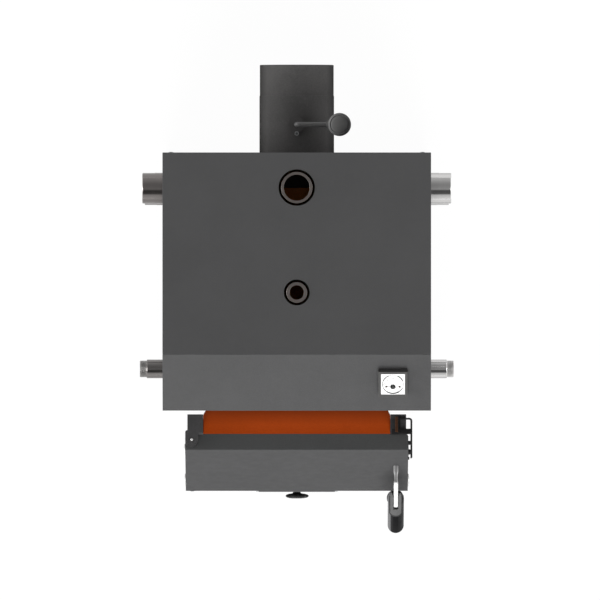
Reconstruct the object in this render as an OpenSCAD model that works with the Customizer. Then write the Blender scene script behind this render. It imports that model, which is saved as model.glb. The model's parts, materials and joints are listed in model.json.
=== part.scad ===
// Solid fuel boiler with a sloped loading door.
// The frame is millimetres, +Z up, the front faces -Y, and the origin is the
// middle of the casing's footprint on the floor.

/* [Casing] */
// Width over the two side panels
casing_w = 520; // [500:5:560]
// Depth from the front panel to the rear panel
casing_d = 500; // [480:5:560]
// Height of the top cover above the floor
casing_h = 1080; // [1070:5:1140]
// Thickness of the casing sheet
sheet_t = 2; // [1.5:0.5:3]
// Depth of the sloped fascia, seen from above
fascia_run = 109; // [100:1:120]
// Slope of the fascia from level, in degrees
fascia_tilt = 30; // [26:1:32]
// Height of the folded edge of the top cover
cover_lip = 24; // [16:1:32]
// Thickness of the base plate
base_t = 4; // [3:1:6]
// Thickness of the lagging between vessel and casing
lagging_t = 23; // [18:1:28]
// Air left on each face of a lagging slab
lagging_air = 0.3; // [0.2:0.1:0.6]
// Thickness of the lagging over the vessel
top_lagging_t = 40; // [30:1:50]

/* [Vessel] */
// Height of the vessel's underside above the floor
vessel_z = 85; // [75:1:95]
// Distance of the vessel's top below the top cover
top_space = 100; // [75:1:110]
// Thickness of the vessel's plates
plate_t = 5; // [4:0.5:6]
// Water space at the sides
side_water = 30; // [25:1:35]
// Water space at the rear
rear_water = 38; // [34:1:44]
// Water space over the fire chamber
crown_water = 30; // [26:1:34]
// Distance from the casing's front to the vessel's front plate
front_space = 30; // [25:1:35]
// Diameter of the stays across a water space
stay_d = 16; // [12:1:20]

/* [Pipes] */
// Outside diameter of the side flow and return pipes
stub_d = 60.3; // [58:0.1:62]
// Wall of the side flow and return pipes
stub_wall = 3.6; // [3:0.1:5]
// Reach of a side pipe beyond its panel
stub_out = 40; // [30:1:60]
// Amount by which a side pipe's threaded end is thinner
stub_thread_step = 0.7; // [0.6:0.1:2]
// Length of that threaded end
stub_thread_l = 24; // [18:1:28]
// Distance of the side pipes from the casing's rear
stub_rear = 68.5; // [67:0.5:75]
// Distance of the flow pipes below the vessel's top
flow_drop = 80; // [75:1:100]
// Height of the return pipes above the vessel's underside
return_rise = 65; // [60:1:95]
// Outside diameter of a small side fitting's threaded end
nipple_d = 33.2; // [32:0.1:34]
// Amount by which its collar is thicker
nipple_collar_step = 3.9; // [2:0.1:6]
// Wall of a small side fitting
nipple_wall = 3.6; // [3:0.1:5]
// Reach of its collar beyond the panel
nipple_collar_out = 36; // [30:1:45]
// Reach of its threaded end beyond the panel
nipple_out = 49.6; // [46:0.1:60]
// Distance of the small side fittings from the casing's front
nipple_front = 78.5; // [75:0.5:90]
// Height of the small side fittings above the vessel's underside
nipple_rise = 65; // [60:1:115]
// Outside diameter of the top flow pipe
top_pipe_d = 60.5; // [58:0.1:62]
// Wall of the top flow pipe
top_pipe_wall = 5; // [4:0.1:6]
// Gap round the top flow pipe in the top cover
top_pipe_gap = 3.25; // [2:0.25:5]
// Distance of the top flow pipe from the casing's rear
top_pipe_rear = 68; // [66:0.5:75]
// Outside diameter of the top socket
socket_d = 40; // [36:0.5:42]
// Wall of the top socket
socket_wall = 6; // [5:0.5:7]
// Gap round the socket in the top cover
socket_gap = 3.5; // [2:0.5:5]
// Place of the top socket before the middle
socket_y = 21; // [10:1:40]
// Height of the pipe ends above the top cover
pipe_proud = 3; // [1:0.5:10]

/* [Flue] */
// Outside diameter of the flue pipe
flue_d = 145; // [140:1:150]
// Wall of the flue pipe
flue_wall = 3; // [2:0.5:4]
// Distance of the flue's axis below the vessel's top
flue_drop = 130; // [125:1:145]
// Reach of the flue beyond the rear panel
flue_out = 171.5; // [165:0.5:220]
// Amount by which the flue's end is thinner, where the chimney pipe slides on
spigot_step = 1.4; // [1.2:0.1:4]
// Length of that end
spigot_l = 60; // [50:1:70]
// Gap round the flue in the rear panel
flue_gap = 3; // [2:0.5:5]
// Distance of the damper's axle from the rear panel
damper_out = 55; // [50:1:80]
// Clearance round the damper plate inside the flue
damper_gap = 3; // [2:0.5:5]
// Thickness of the damper plate
damper_t = 4; // [3:0.5:5]
// Diameter of the damper's rod
damper_rod_d = 10; // [8:0.5:11]
// Height of the rod's level part above the flue
damper_rod_rise = 26; // [22:1:34]
// Diameter of the damper's knob
damper_knob_d = 45; // [38:1:50]
// Thickness of the damper's knob
damper_knob_t = 28; // [20:1:32]
// Distance of the knob's middle from the axle
damper_knob_out = 83; // [70:1:90]

/* [Doors] */
// Overlap of a door past the neck on each side
door_lap = 34.7; // [33:0.1:38]
// Thickness of both doors
door_t = 32.4; // [31:0.2:36]
// Thickness of the door sheet
door_sheet = 3; // [2:0.5:4]
// Lean of the loading door from upright, in degrees
door_tilt = 17; // [15:0.5:18]
// Length of the loading door down its slope
loading_h = 280; // [272:1:286]
// Distance of the loading door's upper rear edge below the vessel's top
loading_drop = 80; // [75:1:100]
// Distance of that edge before the casing
loading_out = 45.6; // [42:0.2:50]
// Distance of the lower door's top edge below that edge
door_pitch = 410; // [400:1:425]
// Height of the lower door's bottom edge above the floor
lower_z = 60; // [55:1:68]
// Distance of the lower door's back before the casing
lower_out = 118; // [116:0.5:126]
// Gap between a door's back and the neck's edge
seal_gap = 6; // [4:0.5:8]
// Distance from a door's top edge to its gasket's middle
rope_inset = 32.5; // [30:0.5:35]
// Width of the gasket rope
rope_w = 12; // [10:0.5:14]
// Gap between the gasket rope and the neck
rope_air = 0.3; // [0.2:0.1:0.5]
// Corner radius of a door's upright edges
door_round = 6; // [4:0.5:8]

/* [Neck] */
// Distance of the door neck from the casing's side
neck_inset = 78; // [75:1:82]
// Narrowing of the neck on each side inside the casing
neck_step = 5; // [3:0.5:6]
// Length of the sloped step in front of the casing
neck_step_run = 9; // [6:0.5:12]
// Thickness of the neck's plates
neck_t = 5; // [4:0.5:6]

/* [Hinges and latches] */
// Diameter of a door hinge pin
pin_d = 8; // [6:0.5:10]
// Radial clearance of every running fit
run_gap = 0.05; // [0.02:0.01:0.09]
// Distance of a hinge pin from the door's left edge
pin_inset = 12.7; // [12:0.1:15]
// Thickness of a hinge arm
arm_t = 12; // [8:0.5:14]
// Gap between a hinge arm and the door's edge
arm_gap = 3; // [2:0.5:4]
// Reach of a hinge arm outside the neck
arm_w = 30.5; // [28:0.5:33]
// Length of a hinge arm behind the door's back
arm_back = 37; // [32:1:42]
// Distance of the handle spindles outside the neck
handle_side = 11; // [9:0.5:13]
// Distance of the loading handle's spindle below its door's top edge
loading_spindle = 110.8; // [100:0.2:130]
// Place of the lower handle's spindle, as a share of its door's height from the top
lower_spindle_share = 0.35; // [0.3:0.01:0.45]
// Diameter of a handle's spindle
spindle_d = 9.4; // [8:0.2:10]
// Reach of a spindle before its door
spindle_out = 34; // [30:0.5:40]
// Width of the lever bar
lever_w = 8.6; // [7:0.2:10]
// Thickness of the lever bar
lever_t = 5; // [4:0.5:6]
// Length of the lever bar
lever_l = 63; // [56:1:70]
// Lean of the loading lever out of its door's plane, in degrees
lever_lean = 33; // [25:1:38]
// Diameter of a grip
grip_d = 31.5; // [28:0.5:33]
// Length of a grip between its ends
grip_l = 121; // [100:1:126]
// Lean of the loading grip out of its door's plane, in degrees
grip_lean = 13; // [8:1:20]
// Diameter of the round caps on the doors' sides
cap_d = 25; // [20:1:28]
// Height of those caps
cap_t = 3; // [2:0.2:3.2]
// Diameter of the catch wire
catch_wire_d = 3; // [2.5:0.1:3.5]

/* [Air flap] */
// Width of the air flap
flap_w = 150; // [130:1:180]
// Height of the air flap
flap_h = 105; // [90:1:130]
// Thickness of the air flap
flap_t = 4; // [3:0.5:5]
// Height of the flap above the lower door's bottom edge
flap_rise = 90; // [60:1:110]
// Diameter of the star knob
star_d = 46; // [40:1:52]
// Thickness of the star knob
star_t = 10.2; // [8:0.2:13]
// Distance of the star knob's back from the door's face
star_out = 16.1; // [10:0.1:20]

/* [Gauge] */
// Width and height of the gauge's square body
gauge_w = 56.5; // [50:0.5:62]
// Width of the rim round its window
gauge_rim = 5.05; // [4:0.05:7]
// Height of its body above the fascia
gauge_rise = 12.4; // [11:0.1:14]
// Distance of the gauge's middle from the casing's side
gauge_side = 73.7; // [65:0.1:90]
// Distance of the gauge's middle down the fascia
gauge_s = 60.4; // [58:0.2:66]
// Diameter of its black hub
gauge_hub_d = 9.4; // [8:0.2:11]
// Drop of the needle's pivot below the middle of the dial
gauge_pivot_drop = 5.4; // [4:0.1:7]

/* [Hearth] */
// Height of the grate's top above the vessel's underside
grate_rise = 245; // [225:1:265]
// Thickness of the grate
grate_t = 25; // [18:1:30]
// Number of slots in the grate
grate_slots = 9; // [7:1:11]
// Height of the firebricks
brick_h = 150; // [120:5:180]
// Thickness of the firebricks
brick_t = 25; // [20:1:30]
// Height of the ash box
ash_h = 110; // [90:5:130]
// Thickness of the ash box's sheet
ash_sheet = 2; // [1.5:0.5:3]
// Distance of the smoke baffle below the vessel's top
baffle_drop = 240; // [230:5:260]
// Thickness of the smoke baffle
baffle_t = 12; // [10:1:16]

/* [Hidden] */
$fn = 64;

// Colours
casing_paint = "#4f4f4f";
fascia_paint = "#636363";
vessel_paint = "#a84a14";
bright_steel = "#c9c9c9";
dark_paint = "#3c3c3c";
black_parts = "#222222";
lagging_colour = "#d9cfa5";
cast_colour = "#4a4542";
brick_colour = "#c9a982";
white_face = "#f2f2f2";

// Overrun of a cut past the face that it opens
cut = 5;

// Casing
half_w = casing_w / 2;
half_d = casing_d / 2;
fascia_y = -half_d + fascia_run;
fascia_front_z = casing_h - fascia_run * tan(fascia_tilt);
fascia_drop = sheet_t / cos(fascia_tilt);
cover_z = casing_h - cover_lip;

// Vessel
vessel_half_w = half_w - sheet_t - lagging_t;
vessel_rear_y = half_d - sheet_t - lagging_t;
vessel_front_y = -half_d + front_space;
vessel_top_z = casing_h - top_space;
floor_top_z = vessel_z + plate_t;
chamber_half_w = vessel_half_w - 2 * plate_t - side_water;
chamber_rear_y = vessel_rear_y - 2 * plate_t - rear_water;
chamber_front_y = vessel_front_y + plate_t;
crown_z = vessel_top_z - 2 * plate_t - crown_water;
grate_z = vessel_z + grate_rise;
baffle_z = vessel_top_z - baffle_drop;

// Pipes
stub_thread_d = stub_d - stub_thread_step;
nipple_collar_d = nipple_d + nipple_collar_step;
nipple_bore = nipple_d - 2 * nipple_wall;
top_pipe_bore = top_pipe_d - 2 * top_pipe_wall;
top_pipe_hole = top_pipe_d + 2 * top_pipe_gap;
socket_bore = socket_d - 2 * socket_wall;
socket_hole = socket_d + 2 * socket_gap;
stub_y = half_d - stub_rear;
flow_z = vessel_top_z - flow_drop;
return_z = vessel_z + return_rise;
nipple_y = half_d - nipple_front;
nipple_z = vessel_z + nipple_rise;
top_pipe_y = half_d - top_pipe_rear;

// Doors and neck
neck_half = half_w - neck_inset;
neck_w = 2 * neck_half;
throat_half = neck_half - neck_step - neck_t;
door_half = neck_half + door_lap;
door_w = 2 * door_half;
loading_y = -half_d - loading_out;
lower_y = -half_d - lower_out;
loading_z = vessel_top_z - loading_drop;
lower_top_z = loading_z - door_pitch;
lower_h = lower_top_z - lower_z;
flap_drop = lower_h - flap_rise - flap_h;
neck_front_y = lower_y + seal_gap;
// A point of the loading door's frame, from its rear upper edge, in the boiler's Y and Z
function slope_y(y, z) = loading_y + y * cos(door_tilt) + z * sin(door_tilt);
function slope_z(y, z) = loading_z - y * sin(door_tilt) + z * cos(door_tilt);
// Where the loading neck's sloped edge meets the upright front of the lower neck
knee_s = (neck_front_y - loading_y - seal_gap * cos(door_tilt)) / sin(door_tilt);
knee_z = slope_z(seal_gap, knee_s);
neck_top_z = slope_z(seal_gap, -(rope_inset - neck_t / 2));
neck_top_y = slope_y(seal_gap, -(rope_inset - neck_t / 2));
panel_top_s = knee_s + neck_t / sin(door_tilt);
loading_rope_bottom = -(knee_s + panel_top_s) / 2;
lower_rope_bottom = lower_top_z - vessel_z - neck_t / 2;

// Hinges and latches
handle_x = neck_half + handle_side;
lower_spindle = lower_h * lower_spindle_share;
pin_x = -door_half + pin_inset;
pin_y = -door_t / 2;
lug_r = pin_inset;
arm_plate_t = 5;
arm_plate_h = 90;
arm_plate_set = 3;
arm_plate_front = seal_gap + arm_plate_set;
tongue_l = 20;
tongue_w = 12;
tongue_t = 4;
tongue_gap = 1;
grip_sink = 6;
grip_start = 47;
cap_share = [0.21, 0.93];

// Gauge
gauge_x = half_w - gauge_side;
gauge_window = gauge_w - 2 * gauge_rim;

// Damper
flue_z = vessel_top_z - flue_drop;
damper_y = half_d + damper_out;
flue_end_y = half_d + flue_out;
spigot_d = flue_d - spigot_step;
flue_top_z = flue_z + flue_d / 2;
damper_rod_z = flue_top_z + damper_rod_rise;

// Ledges in the chamber
ledge_w = 20;
ledge_h = 12;
seat_air = 0.3;

module box(x0, x1, y0, y1, z0, z1)
    translate([x0, y0, z0]) cube([x1 - x0, y1 - y0, z1 - z0]);

// A round rod between two points
module rod(a, b, d) {
    v = b - a;
    l = norm(v);
    translate(a) rotate([0, acos(v[2] / l), atan2(v[1], v[0])]) cylinder(h = l, d = d);
}

// A cylinder along X that starts at x0
module x_rod(x0, x1, y, z, d) rod([x0, y, z], [x1, y, z], d);

// A cylinder along Y that starts at y0
module y_rod(x, y0, y1, z, d) rod([x, y0, z], [x, y1, z], d);

// Extrudes an outline drawn in Y and Z between two places on X
module side_slab(x0, x1)
    translate([x0, 0, 0]) rotate([90, 0, 90]) linear_extrude(x1 - x0) children();

module both_sides() {
    children();
    mirror([1, 0, 0]) children();
}

// The loading door's frame: its rear upper edge is the origin, -Y faces out
module on_slope() translate([0, loading_y, loading_z]) rotate([-door_tilt, 0, 0]) children();

// The lower door's frame
module on_lower() translate([0, lower_y, lower_top_z]) children();

// The gauge's frame on the fascia: +Z is the outward normal
module on_gauge()
    translate([gauge_x, fascia_y - gauge_s * cos(fascia_tilt), casing_h - gauge_s * sin(fascia_tilt)])
        rotate([fascia_tilt, 0, 0]) children();

// Base
rail_w = 40;
rail_wall = 3;

module base_plate() color(dark_paint)
    box(-half_w, half_w, -half_d, half_d, 0, base_t);

module base_rails() color(dark_paint)
    both_sides() difference() {
        box(vessel_half_w - rail_w, vessel_half_w, vessel_front_y, vessel_rear_y, base_t, vessel_z);
        box(vessel_half_w - rail_w + rail_wall, vessel_half_w - rail_wall, vessel_front_y - cut,
            vessel_rear_y + cut, base_t + rail_wall, vessel_z - rail_wall);
    }

// Casing
hole_air = 3;

module side_panel_outline() polygon([
    [-half_d, base_t], [half_d, base_t], [half_d, cover_z], [fascia_y, cover_z],
    [fascia_y, casing_h - fascia_drop], [-half_d, fascia_front_z - fascia_drop]]);

module right_side_shell() difference() {
    side_slab(half_w - sheet_t, half_w) side_panel_outline();
    for (z = [flow_z, return_z])
        x_rod(half_w - sheet_t - cut, half_w + cut, stub_y, z, stub_d + 2 * hole_air);
    x_rod(half_w - sheet_t - cut, half_w + cut, -nipple_y, nipple_z, nipple_collar_d + 2 * hole_air);
}

module left_side_panel() color(casing_paint) mirror([1, 0, 0]) right_side_shell();

module right_side_panel() color(casing_paint) right_side_shell();

module rear_panel() color(casing_paint) difference() {
    box(-half_w + sheet_t, half_w - sheet_t, half_d - sheet_t, half_d, base_t, cover_z);
    y_rod(0, half_d - sheet_t - cut, half_d + cut, flue_z, flue_d + 2 * flue_gap);
}

front_join = 0.5;

module front_upper_panel() color(casing_paint)
    box(-half_w + sheet_t, half_w - sheet_t, -half_d, -half_d + sheet_t,
        neck_top_z + front_join, fascia_front_z - fascia_drop);

// One sheet below and beside the neck
module front_surround() color(casing_paint) difference() {
    box(-half_w + sheet_t, half_w - sheet_t, -half_d, -half_d + sheet_t, base_t,
        neck_top_z + front_join);
    box(-neck_half + neck_step - front_join, neck_half - neck_step + front_join, -half_d - cut,
        -half_d + sheet_t + cut, vessel_z - front_join, neck_top_z + cut);
}

module fascia_panel() color(fascia_paint) difference() {
    side_slab(-half_w, half_w) polygon([
        [fascia_y, casing_h], [-half_d, fascia_front_z],
        [-half_d, fascia_front_z - fascia_drop], [fascia_y, casing_h - fascia_drop]]);
    on_gauge() translate([0, 0, -cut - sheet_t])
        cylinder(d = gauge_can_d + 2 * can_air, h = sheet_t + 2 * cut);
}

module top_cover() color(casing_paint) difference() {
    box(-half_w, half_w, fascia_y, half_d, cover_z, casing_h);
    box(-half_w + sheet_t, half_w - sheet_t, fascia_y - cut, half_d - sheet_t,
        cover_z - cut, casing_h - sheet_t);
    translate([0, top_pipe_y, casing_h - sheet_t - cut])
        cylinder(d = top_pipe_hole, h = sheet_t + 2 * cut);
    translate([0, -socket_y, casing_h - sheet_t - cut])
        cylinder(d = socket_hole, h = sheet_t + 2 * cut);
}

// Screws in the rear panel
screw_head_d = 9;
screw_head_t = 3;
screw_edge = 14;
screw_rows = 4;

module casing_screws() color(bright_steel)
    both_sides() for (i = [0:screw_rows - 1]) {
        z = base_t + screw_edge + i * (cover_z - base_t - 2 * screw_edge) / (screw_rows - 1);
        translate([half_w - sheet_t - screw_edge, half_d, z]) rotate([-90, 0, 0])
            cylinder(d1 = screw_head_d, d2 = screw_head_d - screw_head_t, h = screw_head_t);
    }

// Lagging
lagging_edge = 8;

module side_lagging() color(lagging_colour)
    both_sides() difference() {
        box(vessel_half_w + lagging_air, half_w - sheet_t - lagging_air, vessel_front_y,
            vessel_rear_y, floor_top_z, vessel_top_z - lagging_edge);
        for (z = [flow_z, return_z])
            x_rod(vessel_half_w - cut, half_w + cut, stub_y, z, stub_d + 2 * hole_air);
        x_rod(vessel_half_w - cut, half_w + cut, -nipple_y, nipple_z, nipple_collar_d + 2 * hole_air);
    }

module rear_lagging() color(lagging_colour) difference() {
    box(-vessel_half_w + lagging_edge, vessel_half_w - lagging_edge, vessel_rear_y + lagging_air,
        half_d - sheet_t - lagging_air, floor_top_z, vessel_top_z - lagging_edge);
    y_rod(0, vessel_rear_y - cut, half_d + cut, flue_z, flue_d + 2 * flue_gap);
}

module top_lagging() color(lagging_colour) difference() {
    box(-vessel_half_w + lagging_edge, vessel_half_w - lagging_edge, fascia_y + lagging_edge,
        vessel_rear_y - lagging_edge / 2, vessel_top_z + lagging_air,
        vessel_top_z + lagging_air + top_lagging_t);
    translate([0, top_pipe_y, vessel_top_z - cut])
        cylinder(d = top_pipe_d + 2 * hole_air, h = top_lagging_t + 3 * cut);
    translate([0, -socket_y, vessel_top_z - cut])
        cylinder(d = socket_d + 2 * hole_air, h = top_lagging_t + 3 * cut);
}

// Vessel
stay_rows = 4;

module vessel_floor() color(vessel_paint)
    box(-vessel_half_w, vessel_half_w, vessel_front_y, vessel_rear_y, vessel_z, floor_top_z);

module side_jackets() color(vessel_paint) both_sides() difference() {
    union() {
        box(vessel_half_w - plate_t, vessel_half_w, chamber_front_y, vessel_rear_y,
            floor_top_z, vessel_top_z - plate_t);
        box(chamber_half_w, vessel_half_w, vessel_rear_y - plate_t, vessel_rear_y,
            floor_top_z, vessel_top_z - plate_t);
    }
    for (z = [flow_z, return_z])
        x_rod(vessel_half_w - plate_t - cut, vessel_half_w + cut, stub_y, z, stub_d - 2 * stub_wall);
    x_rod(vessel_half_w - plate_t - cut, vessel_half_w + cut, -nipple_y, nipple_z, nipple_bore);
}

module chamber_sides() color(vessel_paint) both_sides()
    box(chamber_half_w, chamber_half_w + plate_t, chamber_front_y, chamber_rear_y + plate_t,
        floor_top_z, crown_z);

module rear_jackets() color(vessel_paint) difference() {
    union() {
        box(-chamber_half_w, chamber_half_w, chamber_rear_y, chamber_rear_y + plate_t,
            floor_top_z, crown_z);
        box(-chamber_half_w, chamber_half_w, vessel_rear_y - plate_t, vessel_rear_y,
            floor_top_z, vessel_top_z - plate_t);
    }
    y_rod(0, chamber_rear_y - cut, vessel_rear_y + cut, flue_z, flue_d + 2 * run_gap);
}

// Stays that hold the flat plates apart across the water
module jacket_stays() color(vessel_paint)
    for (i = [1:stay_rows]) {
        z = floor_top_z + i * (crown_z - floor_top_z) / (stay_rows + 1);
        both_sides() {
            for (y = [chamber_front_y / 2, chamber_rear_y / 2])
                x_rod(chamber_half_w + plate_t, vessel_half_w - plate_t, y, z, stay_d);
            y_rod(chamber_half_w / 2, chamber_rear_y + plate_t, vessel_rear_y - plate_t, z, stay_d);
        }
    }

module vessel_crown() color(vessel_paint)
    box(-chamber_half_w - plate_t, chamber_half_w + plate_t, chamber_front_y,
        chamber_rear_y + plate_t, crown_z, crown_z + plate_t);

module vessel_top_plate() color(vessel_paint) difference() {
    box(-vessel_half_w, vessel_half_w, chamber_front_y, vessel_rear_y,
        vessel_top_z - plate_t, vessel_top_z);
    translate([0, top_pipe_y, vessel_top_z - plate_t - cut])
        cylinder(d = top_pipe_bore, h = plate_t + 2 * cut);
    translate([0, -socket_y, vessel_top_z - plate_t - cut])
        cylinder(d = socket_bore, h = plate_t + 2 * cut);
}

module vessel_front_plate() color(vessel_paint) difference() {
    box(-vessel_half_w, vessel_half_w, vessel_front_y, chamber_front_y, floor_top_z, vessel_top_z);
    box(-throat_half, throat_half, vessel_front_y - cut, chamber_front_y + cut,
        floor_top_z - cut, neck_top_z - neck_t);
}

// Door neck
// Plan of the neck's outside, drawn in from the edge by a plate
module neck_plan(inset) {
    throat = neck_half - neck_step - inset;
    wide = neck_half - inset;
    step_y = -half_d - neck_step_run;
    polygon([
        [-throat, vessel_front_y], [-throat, -half_d], [-wide, step_y], [-wide, neck_front_y - cut],
        [wide, neck_front_y - cut], [wide, step_y], [throat, -half_d], [throat, vessel_front_y]]);
}

// Side view of the neck between two heights
module neck_side(z0, z1) {
    top_y = slope_y(seal_gap, (z1 - slope_z(seal_gap, 0)) / cos(door_tilt));
    polygon([
        [vessel_front_y, z0], [neck_front_y, z0], [neck_front_y, knee_z],
        [top_y, z1], [vessel_front_y, z1]]);
}

module neck_block(z0, z1)
    side_slab(-neck_half - cut, neck_half + cut) neck_side(z0, z1);

module neck_cheeks() intersection() {
    neck_block(floor_top_z, neck_top_z - neck_t);
    translate([0, 0, vessel_z]) linear_extrude(neck_top_z - vessel_z) difference() {
        neck_plan(0);
        neck_plan(neck_t);
        translate([-neck_half + neck_t, neck_front_y - 2 * cut])
            square([neck_w - 2 * neck_t, 3 * cut]);
        translate([-throat_half, vessel_front_y - cut])
            square([2 * throat_half, 2 * cut]);
    }
}

module neck_plates() {
    intersection() {
        side_slab(-neck_half - cut, neck_half + cut) polygon([
            [vessel_front_y, neck_top_z - neck_t],
            [neck_top_y - neck_t * tan(door_tilt), neck_top_z - neck_t],
            [neck_top_y, neck_top_z], [vessel_front_y, neck_top_z]]);
        translate([0, 0, neck_top_z - 2 * neck_t]) linear_extrude(3 * neck_t) neck_plan(0);
    }
    intersection() {
        box(-neck_half, neck_half, neck_front_y, vessel_front_y, vessel_z, floor_top_z);
        translate([0, 0, vessel_z - neck_t]) linear_extrude(3 * neck_t) neck_plan(0);
    }
}

module neck_walls() color(vessel_paint) {
    neck_cheeks();
    neck_plates();
}

module neck_front_panel() color(vessel_paint)
    side_slab(-neck_half + neck_t, neck_half - neck_t) polygon([
        [neck_front_y, lower_top_z - rope_inset - rope_w / 2],
        [neck_front_y, knee_z],
        [neck_front_y + neck_t, slope_z(seal_gap, panel_top_s)],
        [neck_front_y + neck_t, lower_top_z - rope_inset - rope_w / 2]]);

// Pipes
module side_pipes() color(bright_steel)
    both_sides() for (z = [flow_z, return_z]) difference() {
        union() {
            x_rod(vessel_half_w, half_w + stub_out - stub_thread_l, stub_y, z, stub_d);
            x_rod(vessel_half_w, half_w + stub_out, stub_y, z, stub_thread_d);
        }
        x_rod(vessel_half_w - cut, half_w + stub_out + cut, stub_y, z, stub_d - 2 * stub_wall);
    }

module side_fittings() color(bright_steel)
    both_sides() difference() {
        union() {
            x_rod(vessel_half_w, half_w + nipple_collar_out, -nipple_y, nipple_z, nipple_collar_d);
            x_rod(vessel_half_w, half_w + nipple_out, -nipple_y, nipple_z, nipple_d);
        }
        x_rod(vessel_half_w - cut, half_w + nipple_out + cut, -nipple_y, nipple_z, nipple_bore);
    }

module upright_pipe(y, d, bore) difference() {
    translate([0, y, vessel_top_z]) cylinder(d = d, h = casing_h + pipe_proud - vessel_top_z);
    translate([0, y, vessel_top_z - cut])
        cylinder(d = bore, h = casing_h + pipe_proud - vessel_top_z + 2 * cut);
}

module top_flow_pipe() color(bright_steel) upright_pipe(top_pipe_y, top_pipe_d, top_pipe_bore);

module top_socket() color(bright_steel) upright_pipe(-socket_y, socket_d, socket_bore);

// Flue and damper
boss_d = 30;
boss_t = 6;
lock_screw_d = 9;
lock_screw_h = 7;

module flue_pipe() color(dark_paint) difference() {
    union() {
        y_rod(0, chamber_rear_y, flue_end_y - spigot_l, flue_z, flue_d);
        y_rod(0, chamber_rear_y, flue_end_y, flue_z, spigot_d);
    }
    y_rod(0, chamber_rear_y - cut, flue_end_y + cut, flue_z, flue_d - 2 * flue_wall);
    translate([0, damper_y, flue_z - flue_d])
        cylinder(d = damper_rod_d + 2 * run_gap, h = 2 * flue_d);
}

// The boss is shaped to the top of the flue and carries the lock screw
module damper_boss() color(dark_paint) difference() {
    union() {
        translate([0, damper_y, flue_z]) cylinder(d = boss_d, h = flue_d / 2 + boss_t);
        translate([0, damper_y - boss_d / 2 - lock_screw_d / 4, flue_z])
            cylinder(d = lock_screw_d, h = flue_d / 2 + boss_t + lock_screw_h);
    }
    y_rod(0, damper_y - flue_d, damper_y + flue_d, flue_z, flue_d);
    translate([0, damper_y, flue_z]) cylinder(d = damper_rod_d + 2 * run_gap, h = flue_d);
}

module damper_plate() color(dark_paint) difference() {
    translate([0, damper_y - damper_t / 2, flue_z]) rotate([-90, 0, 0])
        cylinder(d = flue_d - 2 * flue_wall - 2 * damper_gap, h = damper_t);
    translate([0, damper_y, flue_z - flue_d]) cylinder(d = damper_rod_d, h = 2 * flue_d);
}

module damper_rod() color(dark_paint) {
    rod_low_z = flue_z - flue_d / 2 - damper_rod_d;
    translate([0, damper_y, rod_low_z])
        cylinder(d = damper_rod_d, h = damper_rod_z - rod_low_z);
    translate([0, damper_y, damper_rod_z]) sphere(d = damper_rod_d);
    x_rod(0, damper_knob_out - damper_knob_d / 2, damper_y, damper_rod_z, damper_rod_d);
}

module damper_knob() color(black_parts)
    translate([damper_knob_out, damper_y, damper_rod_z - damper_knob_t / 2]) difference() {
        rotate_extrude() knob_outline(damper_knob_d / 2, damper_knob_t);
        x_rod(-damper_knob_d, -damper_knob_d / 2, 0, damper_knob_t / 2, damper_rod_d);
    }

// Half of a domed knob's section
module knob_outline(r, t) intersection() {
    square([r, t]);
    translate([0, t / 2]) circle(r = r);
}

// Hearth
module inner_ledges() color(vessel_paint)
    both_sides() {
        box(chamber_half_w - ledge_w, chamber_half_w, chamber_front_y, chamber_rear_y,
            grate_z - grate_t - ledge_h, grate_z - grate_t);
        box(chamber_half_w - ledge_w, chamber_half_w, 0, chamber_rear_y,
            baffle_z - ledge_h, baffle_z);
    }

grate_air = 4;
grate_rim = 22;
grate_slot_w = 16;

module grate() color(cast_colour) difference() {
    box(-chamber_half_w + grate_air, chamber_half_w - grate_air, chamber_front_y + grate_air,
        chamber_rear_y - grate_air, grate_z - grate_t, grate_z);
    slot_x = chamber_half_w - grate_air - grate_rim - grate_slot_w / 2;
    for (i = [0:grate_slots - 1])
        translate([-slot_x + i * 2 * slot_x / (grate_slots - 1) - grate_slot_w / 2,
            chamber_front_y + grate_air + grate_rim, grate_z - grate_t - cut])
            cube([grate_slot_w, chamber_rear_y - chamber_front_y - 2 * grate_air - 2 * grate_rim,
                grate_t + 2 * cut]);
}

brick_count = 3;
brick_joint = 2;

module firebricks() color(brick_colour)
    both_sides() for (i = [0:brick_count - 1]) {
        pitch = (chamber_rear_y - chamber_front_y - 2 * grate_air) / brick_count;
        y0 = chamber_front_y + grate_air + i * pitch;
        box(chamber_half_w - seat_air - brick_t, chamber_half_w - seat_air, y0,
            y0 + pitch - brick_joint, grate_z, grate_z + brick_h);
    }

module smoke_baffle() color(cast_colour)
    box(-chamber_half_w + grate_air, chamber_half_w - grate_air, 0, chamber_rear_y - grate_air,
        baffle_z, baffle_z + baffle_t);

ash_front_gap = 30;
ash_side_gap = 12;
ash_pull_w = 110;
ash_pull_d = 8;
ash_pull_out = 12;
ash_pull_share = 0.7;

module ash_box() color(cast_colour) {
    x = throat_half - ash_side_gap;
    y0 = neck_front_y + ash_front_gap;
    y1 = chamber_rear_y - ash_side_gap;
    difference() {
        box(-x, x, y0, y1, floor_top_z, floor_top_z + ash_h);
        box(-x + ash_sheet, x - ash_sheet, y0 + ash_sheet, y1 - ash_sheet,
            floor_top_z + ash_sheet, floor_top_z + ash_h + cut);
    }
    pull_z = floor_top_z + ash_h * ash_pull_share;
    for (side = [-1, 1])
        rod([side * ash_pull_w / 2, y0, pull_z], [side * ash_pull_w / 2, y0 - ash_pull_out, pull_z],
            ash_pull_d);
    x_rod(-ash_pull_w / 2 - ash_pull_d / 2, ash_pull_w / 2 + ash_pull_d / 2, y0 - ash_pull_out,
        pull_z, ash_pull_d);
}

// Doors, each drawn upright in its own frame
board_back = 2;
board_edge = 12;
spindle_air = 2;
shield_t = 12;
shield_inset = 3;

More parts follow.
